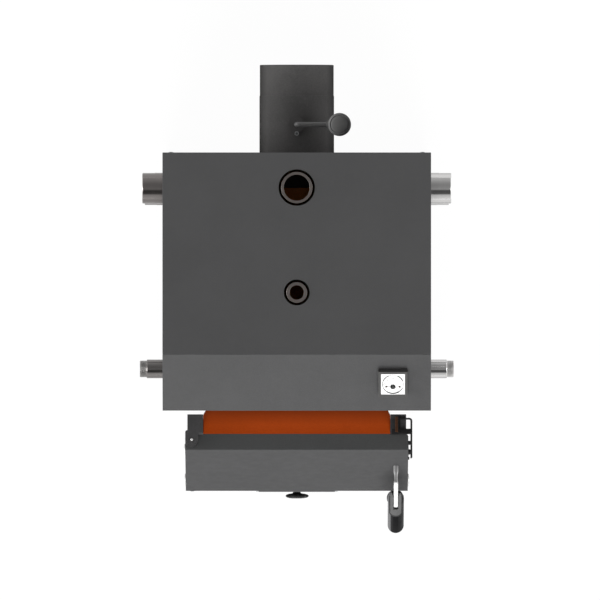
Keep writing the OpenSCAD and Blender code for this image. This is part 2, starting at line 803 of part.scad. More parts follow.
// Door sheet as a tray with round upright rear edges
module door_pan(h, spindle) difference() {
    translate([0, 0, -h]) linear_extrude(h) {
        translate([-door_half, -door_t]) square([door_w, door_t - door_round]);
        translate([-door_half + door_round, -door_t]) square([door_w - 2 * door_round, door_t]);
        for (side = [-1, 1])
            translate([side * (door_half - door_round), -door_round]) circle(r = door_round);
    }
    box(-door_half + door_sheet, door_half - door_sheet, -door_t + door_sheet, cut,
        -h + door_sheet, -door_sheet);
    for (z = [-h, 0])
        translate([pin_x, pin_y, z - door_sheet - cut])
            cylinder(d = pin_d + 2 * run_gap, h = 2 * door_sheet + 2 * cut);
    y_rod(handle_x, -door_t - cut, cut, -spindle, spindle_d + 2 * run_gap);
}

board_half = handle_x - spindle_d / 2 - spindle_air;

module door_board(h)
    box(-board_half, board_half, -door_t + door_sheet, -board_back, -h + board_edge, -board_edge);

module door_rope(top, bottom) {
    x = neck_half - neck_t / 2;
    difference() {
        box(-x - rope_w / 2, x + rope_w / 2, -board_back, seal_gap - rope_air,
            -bottom - rope_w / 2, -top + rope_w / 2);
        box(-x + rope_w / 2, x - rope_w / 2, -board_back - cut, seal_gap + cut,
            -bottom + rope_w / 2, -top - rope_w / 2);
    }
}

module door_shield(top, bottom) {
    x = neck_half - neck_t / 2 - rope_w / 2 - shield_inset;
    box(-x, x, -board_back, shield_t - board_back, -bottom + rope_w / 2 + shield_inset,
        -top - rope_w / 2 - shield_inset);
}

module door_caps(h)
    both_sides() for (share = cap_share)
        x_rod(door_half, door_half + cap_t, pin_y, -h * share, cap_d);

// Two black studs on the loading door's right side, under the catch wire
stud_big_d = 11;
stud_small_d = 8;
stud_small_at = [-10, -8];
stud_big_at = [-26, -22];

module catch_studs() {
    x_rod(door_half, door_half + cap_t, stud_small_at[0], stud_small_at[1], stud_small_d);
    x_rod(door_half, door_half + cap_t, stud_big_at[0], stud_big_at[1], stud_big_d);
}

module loading_door_pan() color(fascia_paint) on_slope() door_pan(loading_h, loading_spindle);
module loading_door_board() color(lagging_colour) on_slope() door_board(loading_h);
module loading_door_rope() color(white_face) on_slope() door_rope(rope_inset, loading_rope_bottom);
module loading_door_shield() color(cast_colour) on_slope() door_shield(rope_inset, loading_rope_bottom);
module loading_door_caps() color(bright_steel) on_slope() {
    door_caps(loading_h);
    catch_studs();
}

// Air inlet through the lower door, under its flap
inlet_lap = 20;
inlet_w = flap_w - 2 * inlet_lap;
inlet_h = flap_h - 2 * inlet_lap;

module flap_inlet()
    box(-inlet_w / 2, inlet_w / 2, -door_t - cut, shield_t + cut,
        -flap_drop - flap_h / 2 - inlet_h / 2, -flap_drop - flap_h / 2 + inlet_h / 2);

module lower_door_pan() color(fascia_paint) on_lower() difference() {
    door_pan(lower_h, lower_spindle);
    flap_inlet();
}
module lower_door_board() color(lagging_colour) on_lower() difference() {
    door_board(lower_h);
    flap_inlet();
}
module lower_door_rope() color(white_face) on_lower() door_rope(rope_inset, lower_rope_bottom);
module lower_door_shield() color(cast_colour) on_lower() difference() {
    door_shield(rope_inset, lower_rope_bottom);
    flap_inlet();
}

// Hinges
// An arm over a door's top edge, with its round lug and the plate that joins it to the neck
module hinge_bracket() {
    difference() {
        union() {
            translate([0, 0, arm_gap]) linear_extrude(arm_t) {
                translate([-neck_half - arm_w, -arm_gap]) square([arm_w, arm_back + arm_gap]);
                translate([pin_x, pin_y]) circle(r = lug_r);
                translate([pin_x - lug_r, pin_y]) square([2 * lug_r, -pin_y - arm_gap + door_round]);
            }
            box(-neck_half - arm_plate_t, -neck_half, arm_plate_front, arm_back,
                arm_gap + arm_t - arm_plate_h, arm_gap + arm_t);
        }
        translate([pin_x, pin_y, arm_gap - cut]) cylinder(d = pin_d, h = arm_t + 2 * cut);
    }
}

module at_door_ends(h) {
    children();
    translate([0, 0, -h]) mirror([0, 0, 1]) children();
}

pin_sink = 18;
pin_head = 2;

module hinge_pin()
    translate([pin_x, pin_y, -pin_sink]) cylinder(d = pin_d, h = pin_sink + arm_gap + arm_t + pin_head);

module neck_brackets() color(dark_paint) {
    on_slope() at_door_ends(loading_h) hinge_bracket();
    on_lower() at_door_ends(lower_h) hinge_bracket();
    on_slope() catch_bracket();
}

module hinge_pins() color(bright_steel) {
    on_slope() at_door_ends(loading_h) hinge_pin();
    on_lower() at_door_ends(lower_h) hinge_pin();
}

// Handles
module handle_lever(spindle, lean) translate([handle_x, 0, -spindle]) {
    y_rod(0, -door_t - spindle_out, tongue_gap + tongue_t, 0, spindle_d);
    translate([-tongue_w / 2, tongue_gap, -tongue_l]) cube([tongue_w, tongue_t, tongue_l]);
    translate([0, -door_t - spindle_out, 0]) rotate([-lean, 0, 0])
        translate([-lever_w / 2, -lever_t / 2, -lever_l]) cube([lever_w, lever_t, lever_l + lever_w / 2]);
}

// The grip lies behind the lever bar and is cut flat where the bar is seated
module handle_grip(spindle, lean, hang) translate([handle_x, -door_t - spindle_out, -spindle])
    rotate([-lean, 0, 0]) difference() {
        translate([0, lever_t / 2 + grip_sink, -grip_start]) rotate([lean - hang, 0, 0]) {
            translate([0, 0, -grip_l + grip_d / 2]) cylinder(d = grip_d, h = grip_l - grip_d / 2);
            translate([0, 0, -grip_l + grip_d / 2]) sphere(d = grip_d);
        }
        box(-grip_d, grip_d, lever_t / 2 - 2 * grip_d, lever_t / 2, -2 * grip_l, grip_l);
    }

module loading_handle_lever() color(bright_steel) on_slope() handle_lever(loading_spindle, lever_lean);
module loading_handle_grip() color(black_parts)
    on_slope() handle_grip(loading_spindle, lever_lean, grip_lean);
module lower_handle_lever() color(bright_steel) on_lower() handle_lever(lower_spindle, 0);
module lower_handle_grip() color(black_parts) on_lower() handle_grip(lower_spindle, 0, 0);

// Safety catch at the loading door's right side
catch_arm_front = 3;
catch_pin_side = 18;
catch_pin_back = 9;
catch_wire_out = 5.9;
catch_x = neck_half + catch_pin_side;
catch_y = arm_back - catch_pin_back;
catch_bend = 6.5;
catch_out = door_half + catch_wire_out;
catch_reach = 50;
catch_lever_w = 11;
catch_lever_t = 4;
catch_lever_y = 8;
catch_z = arm_gap + arm_t + seat_air;
catch_pin_d = 6;

module catch_bracket() difference() {
    union() {
        box(neck_half, neck_half + arm_w, -catch_arm_front, arm_back, arm_gap, arm_gap + arm_t);
        box(neck_half, neck_half + arm_plate_t, arm_plate_front, arm_back,
            arm_gap + arm_t - arm_plate_h, arm_gap + arm_t);
    }
    translate([catch_x, catch_y, arm_gap - cut])
        cylinder(d = catch_pin_d + 2 * run_gap, h = arm_t + 2 * cut);
}

module safety_catch() color(black_parts) on_slope() {
    z = catch_z + catch_wire_d / 2;
    translate([catch_x, catch_y, arm_gap]) cylinder(d = catch_pin_d, h = arm_t + seat_air + catch_wire_d);
    x_rod(catch_x, catch_out - catch_bend, catch_y, z, catch_wire_d);
    translate([catch_out - catch_bend, catch_y - catch_bend, z])
        rotate_extrude(angle = 90) translate([catch_bend, 0]) circle(d = catch_wire_d, $fn = 24);
    y_rod(catch_out, -catch_reach, catch_y - catch_bend, z, catch_wire_d);
    translate([catch_out, -catch_reach, z]) sphere(d = catch_wire_d);
    x_rod(catch_out - cap_t, catch_out, -catch_reach, z, catch_wire_d);
    translate([catch_x - catch_lever_w / 2, catch_lever_y - catch_lever_w / 2, catch_z])
        cube([catch_out - catch_x + catch_lever_w / 2, catch_lever_w, catch_lever_t]);
    translate([catch_x - catch_lever_t / 2, catch_lever_y, catch_z])
        cube([catch_lever_t, catch_y - catch_lever_y, catch_wire_d]);
}

// Air flap
flap_pin_d = 6;
flap_barrel_d = 12;
flap_lug_t = 5;
flap_off = 7;
flap_air = 0.3;
star_screw_d = 8;
star_boss_d = 14;
star_lobes = 7;
star_drop_share = 0.55;
star_core_share = 0.74;
star_lobe_share = 0.26;
flap_pivot_y = -door_t - flap_off;
star_z = -flap_drop - flap_h * star_drop_share;
star_lobe_d = star_d * star_lobe_share;

module air_flap() color(dark_paint) on_lower() difference() {
    union() {
        box(-flap_w / 2, flap_w / 2, -door_t - flap_air - flap_t, -door_t - flap_air,
            -flap_drop - flap_h, -flap_drop);
        x_rod(-flap_w / 2, flap_w / 2, flap_pivot_y, -flap_drop, flap_barrel_d);
    }
    x_rod(-flap_w / 2 - cut, flap_w / 2 + cut, flap_pivot_y, -flap_drop, flap_pin_d + 2 * run_gap);
    y_rod(0, -door_t - flap_t - cut, -door_t + cut, star_z, star_screw_d + 2 * run_gap);
}

module flap_hinge() color(bright_steel) on_lower() {
    x_rod(-flap_w / 2 - flap_lug_t - flap_air, flap_w / 2 + flap_lug_t + flap_air, flap_pivot_y,
        -flap_drop, flap_pin_d);
    both_sides() translate([flap_w / 2 + flap_air, 0, 0]) {
        x_rod(0, flap_lug_t, flap_pivot_y, -flap_drop, flap_barrel_d);
        box(0, flap_lug_t, flap_pivot_y, -door_t, -flap_drop - flap_barrel_d / 2,
            -flap_drop + flap_barrel_d / 2);
    }
}

module star_knob() color(black_parts) on_lower() translate([0, 0, star_z]) {
    y_rod(0, -door_t - star_out - star_t / 2, -door_t - flap_air, 0, star_screw_d);
    y_rod(0, -door_t - star_out, -door_t - flap_air - flap_t - flap_air, 0, star_boss_d);
    y_rod(0, -door_t - star_out - star_t, -door_t - star_out, 0, star_d * star_core_share);
    for (i = [0:star_lobes - 1]) rotate([0, i * 360 / star_lobes, 0])
        y_rod((star_d - star_lobe_d) / 2, -door_t - star_out - star_t, -door_t - star_out, 0,
            star_lobe_d);
}

// Gauge
gauge_can_d = 48;
gauge_can_l = 30;
can_air = 0.5;
window_depth = 1.5;
dial_t = 1.5;
gauge_floor = gauge_rise - window_depth - dial_t;
needle_gap = 0.5;
needle_t = 0.8;
needle_w = 1.2;
needle_l = 15;
capillary_d = 3;
capillary_stub = 6;
capillary_bend_d = 3.6;
pocket_d = 18;
pocket_h = 26;
pocket_shift = 36;
pocket_x = gauge_x - pocket_shift;

module gauge_housing() color(fascia_paint) on_gauge() difference() {
    union() {
        translate([-gauge_w / 2, -gauge_w / 2, 0]) cube([gauge_w, gauge_w, gauge_rise]);
        translate([0, 0, -gauge_can_l]) cylinder(d = gauge_can_d, h = gauge_can_l + gauge_floor);
    }
    translate([-gauge_window / 2, -gauge_window / 2, gauge_floor])
        cube([gauge_window, gauge_window, gauge_rise]);
}

module gauge_dial() color(white_face) on_gauge()
    translate([-gauge_window / 2, -gauge_window / 2, gauge_floor])
        cube([gauge_window, gauge_window, dial_t]);

// Sensor pocket on the vessel and the thin tube that joins it to the gauge
module gauge_sensor() color(bright_steel) {
    stub_end = gauge_can_l + capillary_stub;
    can_y = fascia_y - gauge_s * cos(fascia_tilt) + stub_end * sin(fascia_tilt);
    can_z = casing_h - gauge_s * sin(fascia_tilt) - stub_end * cos(fascia_tilt);
    pocket_top = vessel_top_z + pocket_h;
    bend_z = (can_z + pocket_top) / 2 - capillary_d;
    on_gauge() rod([0, 0, -gauge_can_l], [0, 0, -stub_end], capillary_d);
    points = [[gauge_x, can_y, can_z], [gauge_x, can_y, bend_z], [pocket_x, can_y, bend_z],
        [pocket_x, can_y, vessel_top_z + pocket_h / 2 - capillary_d]];
    translate([pocket_x, can_y, vessel_top_z]) cylinder(d = pocket_d, h = pocket_h / 2);
    for (i = [0:len(points) - 2]) rod(points[i], points[i + 1], capillary_d);
    for (i = [0:len(points) - 2]) translate(points[i]) sphere(d = capillary_bend_d);
}

module gauge_needle() color(black_parts) on_gauge() {
    z = gauge_floor + dial_t + needle_gap;
    translate([0, -gauge_pivot_drop, z]) cylinder(d = gauge_hub_d, h = gauge_rise - z);
    translate([-needle_l, -gauge_pivot_drop - needle_w / 2, z]) cube([needle_l, needle_w, needle_t]);
}

base_plate();
base_rails();
left_side_panel();
right_side_panel();
rear_panel();
front_upper_panel();
front_surround();
fascia_panel();
top_cover();
casing_screws();
side_lagging();
rear_lagging();
top_lagging();
vessel_floor();
side_jackets();
chamber_sides();
rear_jackets();
jacket_stays();
vessel_crown();
vessel_top_plate();
vessel_front_plate();
neck_walls();
neck_front_panel();
side_pipes();
side_fittings();
top_flow_pipe();
top_socket();
flue_pipe();
damper_boss();
damper_plate();
damper_rod();
damper_knob();
inner_ledges();
grate();
firebricks();
smoke_baffle();
ash_box();
loading_door_pan();
loading_door_board();
loading_door_shield();
loading_door_rope();
loading_door_caps();
lower_door_pan();
lower_door_board();
lower_door_shield();
lower_door_rope();
neck_brackets();
hinge_pins();
loading_handle_lever();
loading_handle_grip();
lower_handle_lever();
lower_handle_grip();
safety_catch();
air_flap();
flap_hinge();
star_knob();
gauge_housing();
gauge_dial();
gauge_needle();
gauge_sensor();
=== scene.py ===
import json
import math

import bmesh
import bpy
from mathutils import Matrix, Vector


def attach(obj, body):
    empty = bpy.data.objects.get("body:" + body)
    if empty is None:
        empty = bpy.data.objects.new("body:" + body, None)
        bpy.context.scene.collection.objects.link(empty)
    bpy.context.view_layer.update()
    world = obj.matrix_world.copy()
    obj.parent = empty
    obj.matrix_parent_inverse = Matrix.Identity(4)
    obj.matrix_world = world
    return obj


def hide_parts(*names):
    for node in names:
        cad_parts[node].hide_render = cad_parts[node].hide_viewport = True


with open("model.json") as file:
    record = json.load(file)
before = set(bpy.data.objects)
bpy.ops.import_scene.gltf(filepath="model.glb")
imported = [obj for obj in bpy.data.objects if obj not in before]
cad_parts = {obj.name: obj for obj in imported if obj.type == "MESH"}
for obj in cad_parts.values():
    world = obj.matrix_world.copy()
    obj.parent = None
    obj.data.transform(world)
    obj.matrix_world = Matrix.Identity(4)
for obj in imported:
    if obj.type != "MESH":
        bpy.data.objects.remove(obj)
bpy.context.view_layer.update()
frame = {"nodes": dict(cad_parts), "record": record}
nodes = frame["nodes"]
scene = bpy.context.scene
mm = 0.001

# Sizes of the boiler, in millimetres
half_w = 260
half_d = 250
cover_top = 1080
fascia_y = -141
fascia_tilt = math.radians(30)
gauge_x = 186.3
gauge_s = 60.4

# Doors
door_tilt = math.radians(17)
door_half = 216.7
door_t = 32.4
loading_h = 280
lower_h = 430
handle_x = 193
pin_x = -204
pin_y = -16.2

# Pipes, flue and damper: where each stands, its outer radius and its inner one
stub_y, stub_r, stub_bore = 181.5, 30.15, 26.55
flow_z, return_z = 900, 150
fitting_y, fitting_r, fitting_bore = -171.5, 18.55, 13
top_flow_y, top_flow_r, top_flow_bore = 182, 30.25, 25.25
top_socket_y, top_socket_r, top_socket_bore = -21, 20, 14
flue_z, flue_r, flue_bore = 850, 72.5, 69.5
damper_y = 305
damper_rod_z = 948.5


# Frames of the sloped parts: each origin and tilt as in the built solids
def at(x, y, z):
    return Matrix.Translation((x, y, z))


def tipped(angle):
    return Matrix.Rotation(angle, 4, "X")


upright = Matrix.Identity(4)
loading_place = at(0, -295.6, 900) @ tipped(-door_tilt)
lower_place = at(0, -368, 490)
gauge_y = fascia_y - gauge_s * math.cos(fascia_tilt)
gauge_z = cover_top - gauge_s * math.sin(fascia_tilt)
gauge_place = at(gauge_x, gauge_y, gauge_z) @ tipped(fascia_tilt)

# Camera: straight above, with a very long lens
camera = bpy.data.objects.new("camera", bpy.data.cameras.new("camera"))
scene.collection.objects.link(camera)
camera.data.lens = 1500
camera.data.sensor_width = 36
camera.data.clip_start = 1
camera.data.clip_end = 150
camera.location = (0.0063, -0.0356, 49.47)
scene.camera = camera


# Finishes
def dimmed(colour, share):
    return tuple(c * share for c in colour)


class Wiring:
    """The nodes of a finish or of the sky, and the coordinates that they work on."""

    def __init__(self, tree, coordinates):
        self.tree = tree
        self.place = self.node("ShaderNodeTexCoord").outputs[coordinates]

    def node(self, kind, **settings):
        made = self.tree.nodes.new(kind)
        for name, value in settings.items():
            setattr(made, name, value)
        return made

    def join(self, source, target):
        self.tree.links.new(source, target)

    def calculated(self, operation, *terms):
        """The outcome of a sum whose terms are sockets or plain numbers."""
        made = self.node("ShaderNodeMath", operation=operation)
        for socket, term in zip(made.inputs, terms):
            if isinstance(term, bpy.types.NodeSocket):
                self.join(term, socket)
            else:
                socket.default_value = term
        return made.outputs[0]

    def place_along(self, axis):
        """The place along one axis alone."""
        split = self.node("ShaderNodeSeparateXYZ")
        self.join(self.place, split.inputs[0])
        return split.outputs[axis]

    def spread(self, source, low, high, start=0.35, end=0.65):
        """Goes from low to high while the source goes from start to end."""
        made = self.node("ShaderNodeMapRange")
        made.inputs["From Min"].default_value = start
        made.inputs["From Max"].default_value = end
        made.inputs["To Min"].default_value = low
        made.inputs["To Max"].default_value = high
        self.join(source, made.inputs["Value"])
        return made.outputs["Result"]


class Finish(Wiring):
    """A procedural material on the piece's own coordinates."""

    def __init__(self, name, colour, roughness, metallic=0.0, specular=0.5):
        self.material = bpy.data.materials.new(name)
        self.material.use_nodes = True
        super().__init__(self.material.node_tree, "Object")
        self.shader = self.tree.nodes["Principled BSDF"]
        self.shader.inputs["Base Color"].default_value = (*colour, 1)
        self.shader.inputs["Roughness"].default_value = roughness
        self.shader.inputs["Metallic"].default_value = metallic
        self.shader.inputs["Specular IOR Level"].default_value = specular
        self.colour = colour
        self.height = None

    def stretched(self, scale, turn=(0, 0, 0)):
        mapping = self.node("ShaderNodeMapping")
        mapping.inputs["Scale"].default_value = scale
        mapping.inputs["Rotation"].default_value = turn
        self.join(self.place, mapping.inputs["Vector"])
        return mapping.outputs["Vector"]

    def noise(self, scale, detail, vector=None, rough=0.5):
        made = self.node("ShaderNodeTexNoise")
        made.inputs["Scale"].default_value = scale
        made.inputs["Detail"].default_value = detail
        made.inputs["Roughness"].default_value = rough
        self.join(vector or self.place, made.inputs["Vector"])
        return made.outputs["Fac"]

    def cells(self, scale):
        made = self.node("ShaderNodeTexVoronoi")
        made.inputs["Scale"].default_value = scale
        self.join(self.place, made.inputs["Vector"])
        return made.outputs["Distance"]

    def tint(self, source, colour, start, end, most=1.0):
        """Lays another colour over the base where source is high."""
        mix = self.node("ShaderNodeMix", data_type="RGBA")
        self.join(self.spread(source, 0, most, start, end), mix.inputs["Factor"])
        base = self.shader.inputs["Base Color"]
        if base.is_linked:
            self.join(base.links[0].from_socket, mix.inputs["A"])
        else:
            mix.inputs["A"].default_value = base.default_value
        mix.inputs["B"].default_value = (*colour, 1)
        self.join(mix.outputs["Result"], base)

    def shade(self, source, amount, start=0.35, end=0.65):
        """Lightens and darkens the base colour by a share."""
        middle = (start + end) / 2
        lighter = tuple(min(1, c * (1 + amount)) for c in self.colour)
        self.tint(source, dimmed(self.colour, 1 - amount), middle, end)
        self.tint(self.calculated("SUBTRACT", 1, source), lighter, middle, end)

    def gloss(self, source, low, high):
        self.join(self.spread(source, low, high), self.shader.inputs["Roughness"])

    def bump(self, source, depth, strength):
        """Adds relief of that depth, in millimetres."""
        made = self.node("ShaderNodeBump")
        made.inputs["Strength"].default_value = strength
        made.inputs["Distance"].default_value = depth * mm
        self.join(source, made.inputs["Height"])
        if self.height is not None:
            self.join(self.height, made.inputs["Normal"])
        self.height = made.outputs["Normal"]
        self.join(self.height, self.shader.inputs["Normal"])


def powder_coat(name, colour, roughness, specular=0.35, painted_shade_x=None):
    """A coat may turn darker between two places along X, in millimetres, as painted shade."""
    f = Finish(name, colour, roughness, specular=specular)
    if painted_shade_x:
        start, end = painted_shade_x
        f.tint(f.place_along("X"), dimmed(colour, 0.76), start * mm, end * mm)
    f.shade(f.noise(9, 4), 0.07)
    f.shade(f.noise(900, 2), 0.10, 0.4, 0.6)
    f.gloss(f.noise(60, 3), roughness - 0.04, roughness + 0.05)
    f.bump(f.noise(650, 2), 0.035, 0.5)
    return f.material


def turned_steel(name, along, colour, roughness, marks, metallic=1.0, painted_dark_flanks=None):
    """Steel turned about an axis. A pipe's darker flanks and edges, painted shade and painted dark
    reflection, are set by its middle in Y, its radius and the flanks' share.
    """
    f = Finish(name, colour, roughness, metallic)
    scale = [14, 14, 14]
    scale[along] = 1700
    lines = f.noise(1, 3, f.stretched(tuple(scale)))
    f.shade(lines, 0.08 * marks)
    f.shade(f.noise(28, 4), 0.06)
    f.gloss(lines, roughness - 0.04 * marks, roughness + 0.06 * marks)
    f.bump(lines, 0.010 * marks, 0.3)
    if painted_dark_flanks:
        middle, radius, share = painted_dark_flanks
        off_middle = f.calculated("ABSOLUTE", f.calculated("SUBTRACT", f.place_along("Y"), middle * mm))
        radius *= mm
        # Painted shade on the flanks and a painted dark reflection along the edges
        f.tint(off_middle, dimmed(colour, share), radius * 0.64, radius * 0.72)
        f.tint(off_middle, dimmed(colour, 0.4), radius * 0.86, radius * 0.94)
    return f.material


def rolled_steel(name, colour, roughness):
    f = Finish(name, colour, roughness, 0.9)
    f.shade(f.noise(30, 5), 0.15)
    f.tint(f.noise(14, 6, rough=0.7), dimmed(colour, 0.6), 0.5, 0.75, 0.7)
    f.gloss(f.noise(80, 4), roughness - 0.08, roughness + 0.12)
    f.bump(f.noise(400, 4), 0.04, 0.4)
    return f.material


def moulded_plastic(name, colour, roughness, specular=0.4, painted_highlight=None):
    """A left side may be painted paler, a painted highlight: the argument gives its colour and between what X
    it fades out.
    """
    f = Finish(name, colour, roughness, specular=specular)
    f.shade(f.noise(35, 3), 0.10)
    f.gloss(f.noise(120, 3), roughness - 0.05, roughness + 0.06)
    f.bump(f.cells(1400), 0.02, 0.4)
    if painted_highlight:
        highlight_colour, start, end = painted_highlight
        f.tint(f.spread(f.place_along("X"), 1, 0, start * mm, end * mm), highlight_colour, 0, 1)
    return f.material


def vessel_coat(name, colour, neck_shade_share=0.0):
    """Painted shade darkens the coat of the neck where it meets the casing."""
    f = Finish(name, colour, 0.48, specular=0.25)
    f.shade(f.noise(12, 4), 0.10)
    f.tint(f.noise(5, 5, rough=0.65), (0.22, 0.03, 0.006), 0.52, 0.8, 0.45)
    f.shade(f.noise(700, 2), 0.08, 0.4, 0.6)
    f.gloss(f.noise(40, 3), 0.42, 0.56)
    f.bump(f.noise(500, 2), 0.05, 0.5)
    if neck_shade_share:
        f.tint(f.place_along("Y"), dimmed(colour, 0.45), -(half_d + 28) * mm, -half_d * mm, neck_shade_share)
    return f.material


def heat_paint(name, colour, roughness, specular=0.4, painted_shade_below=None):
    """A pipe's paint may be darker below a height in millimetres, which darkens its lower flanks as painted
    shade.
    """
    f = Finish(name, colour, roughness, specular=specular)
    f.shade(f.noise(16, 5), 0.16)
    f.shade(f.noise(800, 2), 0.14, 0.4, 0.6)
    f.gloss(f.noise(45, 4), roughness - 0.06, roughness + 0.08)
    f.bump(f.noise(420, 3), 0.05, 0.5)
    if painted_shade_below:
        # Painted shade: darker below the height
        painted_shade_mask = f.spread(f.place_along("Z"), 1, 0, (painted_shade_below - 25) * mm, painted_shade_below * mm)
        f.tint(painted_shade_mask, dimmed(colour, 0.36), 0, 1)
    return f.material


def grey_iron(name, colour):
    f = Finish(name, colour, 0.78)
    f.shade(f.noise(40, 6, rough=0.7), 0.25)
    f.tint(f.noise(9, 6, rough=0.7), (0.12, 0.05, 0.025), 0.58, 0.8, 0.5)
    f.bump(f.noise(260, 6, rough=0.7), 0.5, 0.6)
    f.bump(f.cells(500), 0.15, 0.4)
    return f.material


def mineral_wool(name, colour):
    f = Finish(name, colour, 0.95)
    across = f.noise(1, 5, f.stretched((260, 40, 40)), 0.7)
    down = f.noise(1, 5, f.stretched((40, 60, 240), (0.4, 0.2, 0.7)), 0.7)
    f.shade(across, 0.25)
    f.tint(down, (0.30, 0.22, 0.10), 0.5, 0.75, 0.6)
    f.bump(across, 1.6, 0.8)
    f.bump(down, 1.2, 0.7)
    return f.material


def fired_clay(name, colour):
    f = Finish(name, colour, 0.9)
    f.shade(f.noise(22, 6, rough=0.65), 0.18)
    f.tint(f.noise(330, 3), (0.30, 0.19, 0.12), 0.6, 0.72, 0.7)
    f.tint(f.noise(4, 4), (0.08, 0.07, 0.06), 0.5, 0.75, 0.5)
    f.bump(f.noise(300, 5, rough=0.7), 0.6, 0.6)
    return f.material


def glass_rope(name, colour):
    f = Finish(name, colour, 0.9)
    yarn = f.noise(1, 3, f.stretched((900, 900, 900)))
    f.shade(yarn, 0.18)
    f.tint(f.noise(20, 4), (0.35, 0.30, 0.24), 0.5, 0.8, 0.5)
    f.bump(yarn, 0.4, 0.6)
    return f.material


casing_coat = powder_coat("casing_powder_coat", (0.066, 0.066, 0.067), 0.62)
# The fascia takes a paler copy of the casing's paint as painted light, and turns darker towards its right end
# as painted shade.
fascia_coat = powder_coat("fascia_powder_coat", (0.073, 0.073, 0.074), 0.62, painted_shade_x=(90, half_w))
door_coat = powder_coat("door_powder_coat", (0.063, 0.063, 0.064), 0.66, 0.06)
# A paler copy of the door's coat for its faces turned up: painted light
door_top_lit_coat = powder_coat("door_top_painted_light_coat", (0.077, 0.078, 0.078), 0.66, 0.06)
gauge_coat = powder_coat("gauge_housing_coat", (0.070, 0.069, 0.068), 0.5)
orange_coat = vessel_coat("vessel_orange_coat", (0.365, 0.050, 0.0035))
# A much paler copy of the orange coat: painted light on the crown seen down the top pipes
crown_lit_coat = vessel_coat("vessel_crown_painted_light", (0.80, 0.25, 0.035))
# The neck's coat darkens towards the casing: painted shade
neck_coat = vessel_coat("neck_orange_coat", (0.365, 0.050, 0.0035), 0.9)
# One steel on both sides: the left pipes, collars and threads take a darker copy as painted shade, the right
# ones a paler copy as painted reflection
pipe_steel_shaded_left = turned_steel("pipe_steel_shaded_left", 0, (0.40, 0.37, 0.36), 0.16, 0.3,
                               painted_dark_flanks=(stub_y, stub_r, 0.46))
pipe_steel_lit_right = turned_steel("pipe_steel_lit_right", 0, (0.95, 0.94, 0.93), 0.12, 0.25,
                                painted_dark_flanks=(stub_y, stub_r, 0.64))
collar_steel_shaded_left = turned_steel("collar_steel_shaded_left", 0, (0.40, 0.38, 0.37), 0.16, 0.3,
                                 painted_dark_flanks=(fitting_y, fitting_r, 0.5))
collar_steel_lit_right = turned_steel("collar_steel_lit_right", 0, (0.95, 0.94, 0.93), 0.12, 0.25,
                                  painted_dark_flanks=(fitting_y, fitting_r, 0.66))
thread_steel_shaded_left = turned_steel("cut_thread_shaded_left", 0, (0.46, 0.45, 0.44), 0.5, 0.5)
thread_steel_lit_right = turned_steel("cut_thread_lit_right", 0, (0.78, 0.77, 0.76), 0.5, 0.5)
steel_z = turned_steel("turned_steel_upright", 2, (0.31, 0.275, 0.258), 0.5, 0.5)
# Steel over a pale diffuse colour: a painted glint on the pin heads and a painted reflection on the levers
pin_glint_steel = turned_steel("hinge_pin_glint_and_steel", 2, (0.90, 0.89, 0.88), 0.35, 0.4, 0.4)
lever_sheen_steel = turned_steel("lever_sheen_and_steel", 0, (0.96, 0.96, 0.955), 0.2, 0.3, 0.45)
spindle_steel = turned_steel("zinc_spindle_steel", 1, (0.50, 0.50, 0.50), 0.5, 0.6, 0.7)
cap_steel = turned_steel("door_cap_steel", 0, (0.86, 0.86, 0.85), 0.3, 0.5, 0.4)
spring_copper = turned_steel("spring_copper", 1, (0.13, 0.055, 0.026), 0.5, 1.0, 0.6)
# The flue's lower flanks are darker: painted shade
flue_coat = heat_paint("flue_heat_paint", (0.110, 0.107, 0.106), 0.66, 0.03, flue_z + 43)
bracket_coat = heat_paint("bracket_heat_paint", (0.066, 0.065, 0.066), 0.55, 0.2)
# A near black paint: painted shade on the hinge arms' front faces, and the colour of the catch's black
# crosspiece
bracket_black_and_shade = heat_paint("bracket_black_and_painted_shade", (0.024, 0.024, 0.024), 0.6, 0.1)
rod_coat = heat_paint("damper_rod_paint", (0.150, 0.149, 0.148), 0.42)
base_coat = heat_paint("base_heat_paint", (0.035, 0.035, 0.036), 0.5)
black_oxide = heat_paint("black_oxide", (0.012, 0.012, 0.012), 0.4)
knob_plastic = moulded_plastic("moulded_knob_plastic", (0.078, 0.0775, 0.077), 0.55, 0.1)
# The black grip's left flank is paler: a painted highlight
grip_plastic = moulded_plastic("moulded_black_grip", (0.0075, 0.0075, 0.008), 0.36, 0.03,
                               painted_highlight=((0.085, 0.085, 0.087), handle_x - 11, handle_x - 9))
# Paler copies of the black grip plastic for the seat and its step: painted reflection, fainter on the step
seat_painted_reflection = moulded_plastic("grip_seat_painted_reflection", (0.084, 0.084, 0.084), 0.55, 0.2)
step_painted_reflection = moulded_plastic("grip_step_painted_reflection", (0.030, 0.030, 0.030), 0.5, 0.1)
star_plastic = moulded_plastic("moulded_black_star", (0.016, 0.016, 0.016), 0.42, 0.12)
needle_plastic = moulded_plastic("needle_black", (0.010, 0.010, 0.010), 0.4)
dial_plate = moulded_plastic("dial_white_plate", (0.93, 0.93, 0.92), 0.4)
dial_ink = moulded_plastic("dial_grey_ink", (0.03, 0.03, 0.03), 0.5)
number_ink = moulded_plastic("dial_number_ink", (0.16, 0.16, 0.16), 0.5)
rivet_brown = moulded_plastic("dial_rivet_brown", (0.07, 0.05, 0.04), 0.5, 0.2)
iron = grey_iron("raw_cast_iron", (0.060, 0.055, 0.050))
baffle_iron = grey_iron("sooted_baffle_iron", (0.045, 0.040, 0.037))
wool = mineral_wool("mineral_wool", (0.60, 0.50, 0.27))
board_wool = mineral_wool("door_board_wool", (0.66, 0.61, 0.48))
brick_clay = fired_clay("fired_clay", (0.52, 0.36, 0.22))
rope_yarn = glass_rope("glass_rope_yarn", (0.70, 0.67, 0.60))
ash_sheet = rolled_steel("plain_sheet_steel", (0.34, 0.32, 0.30), 0.45)
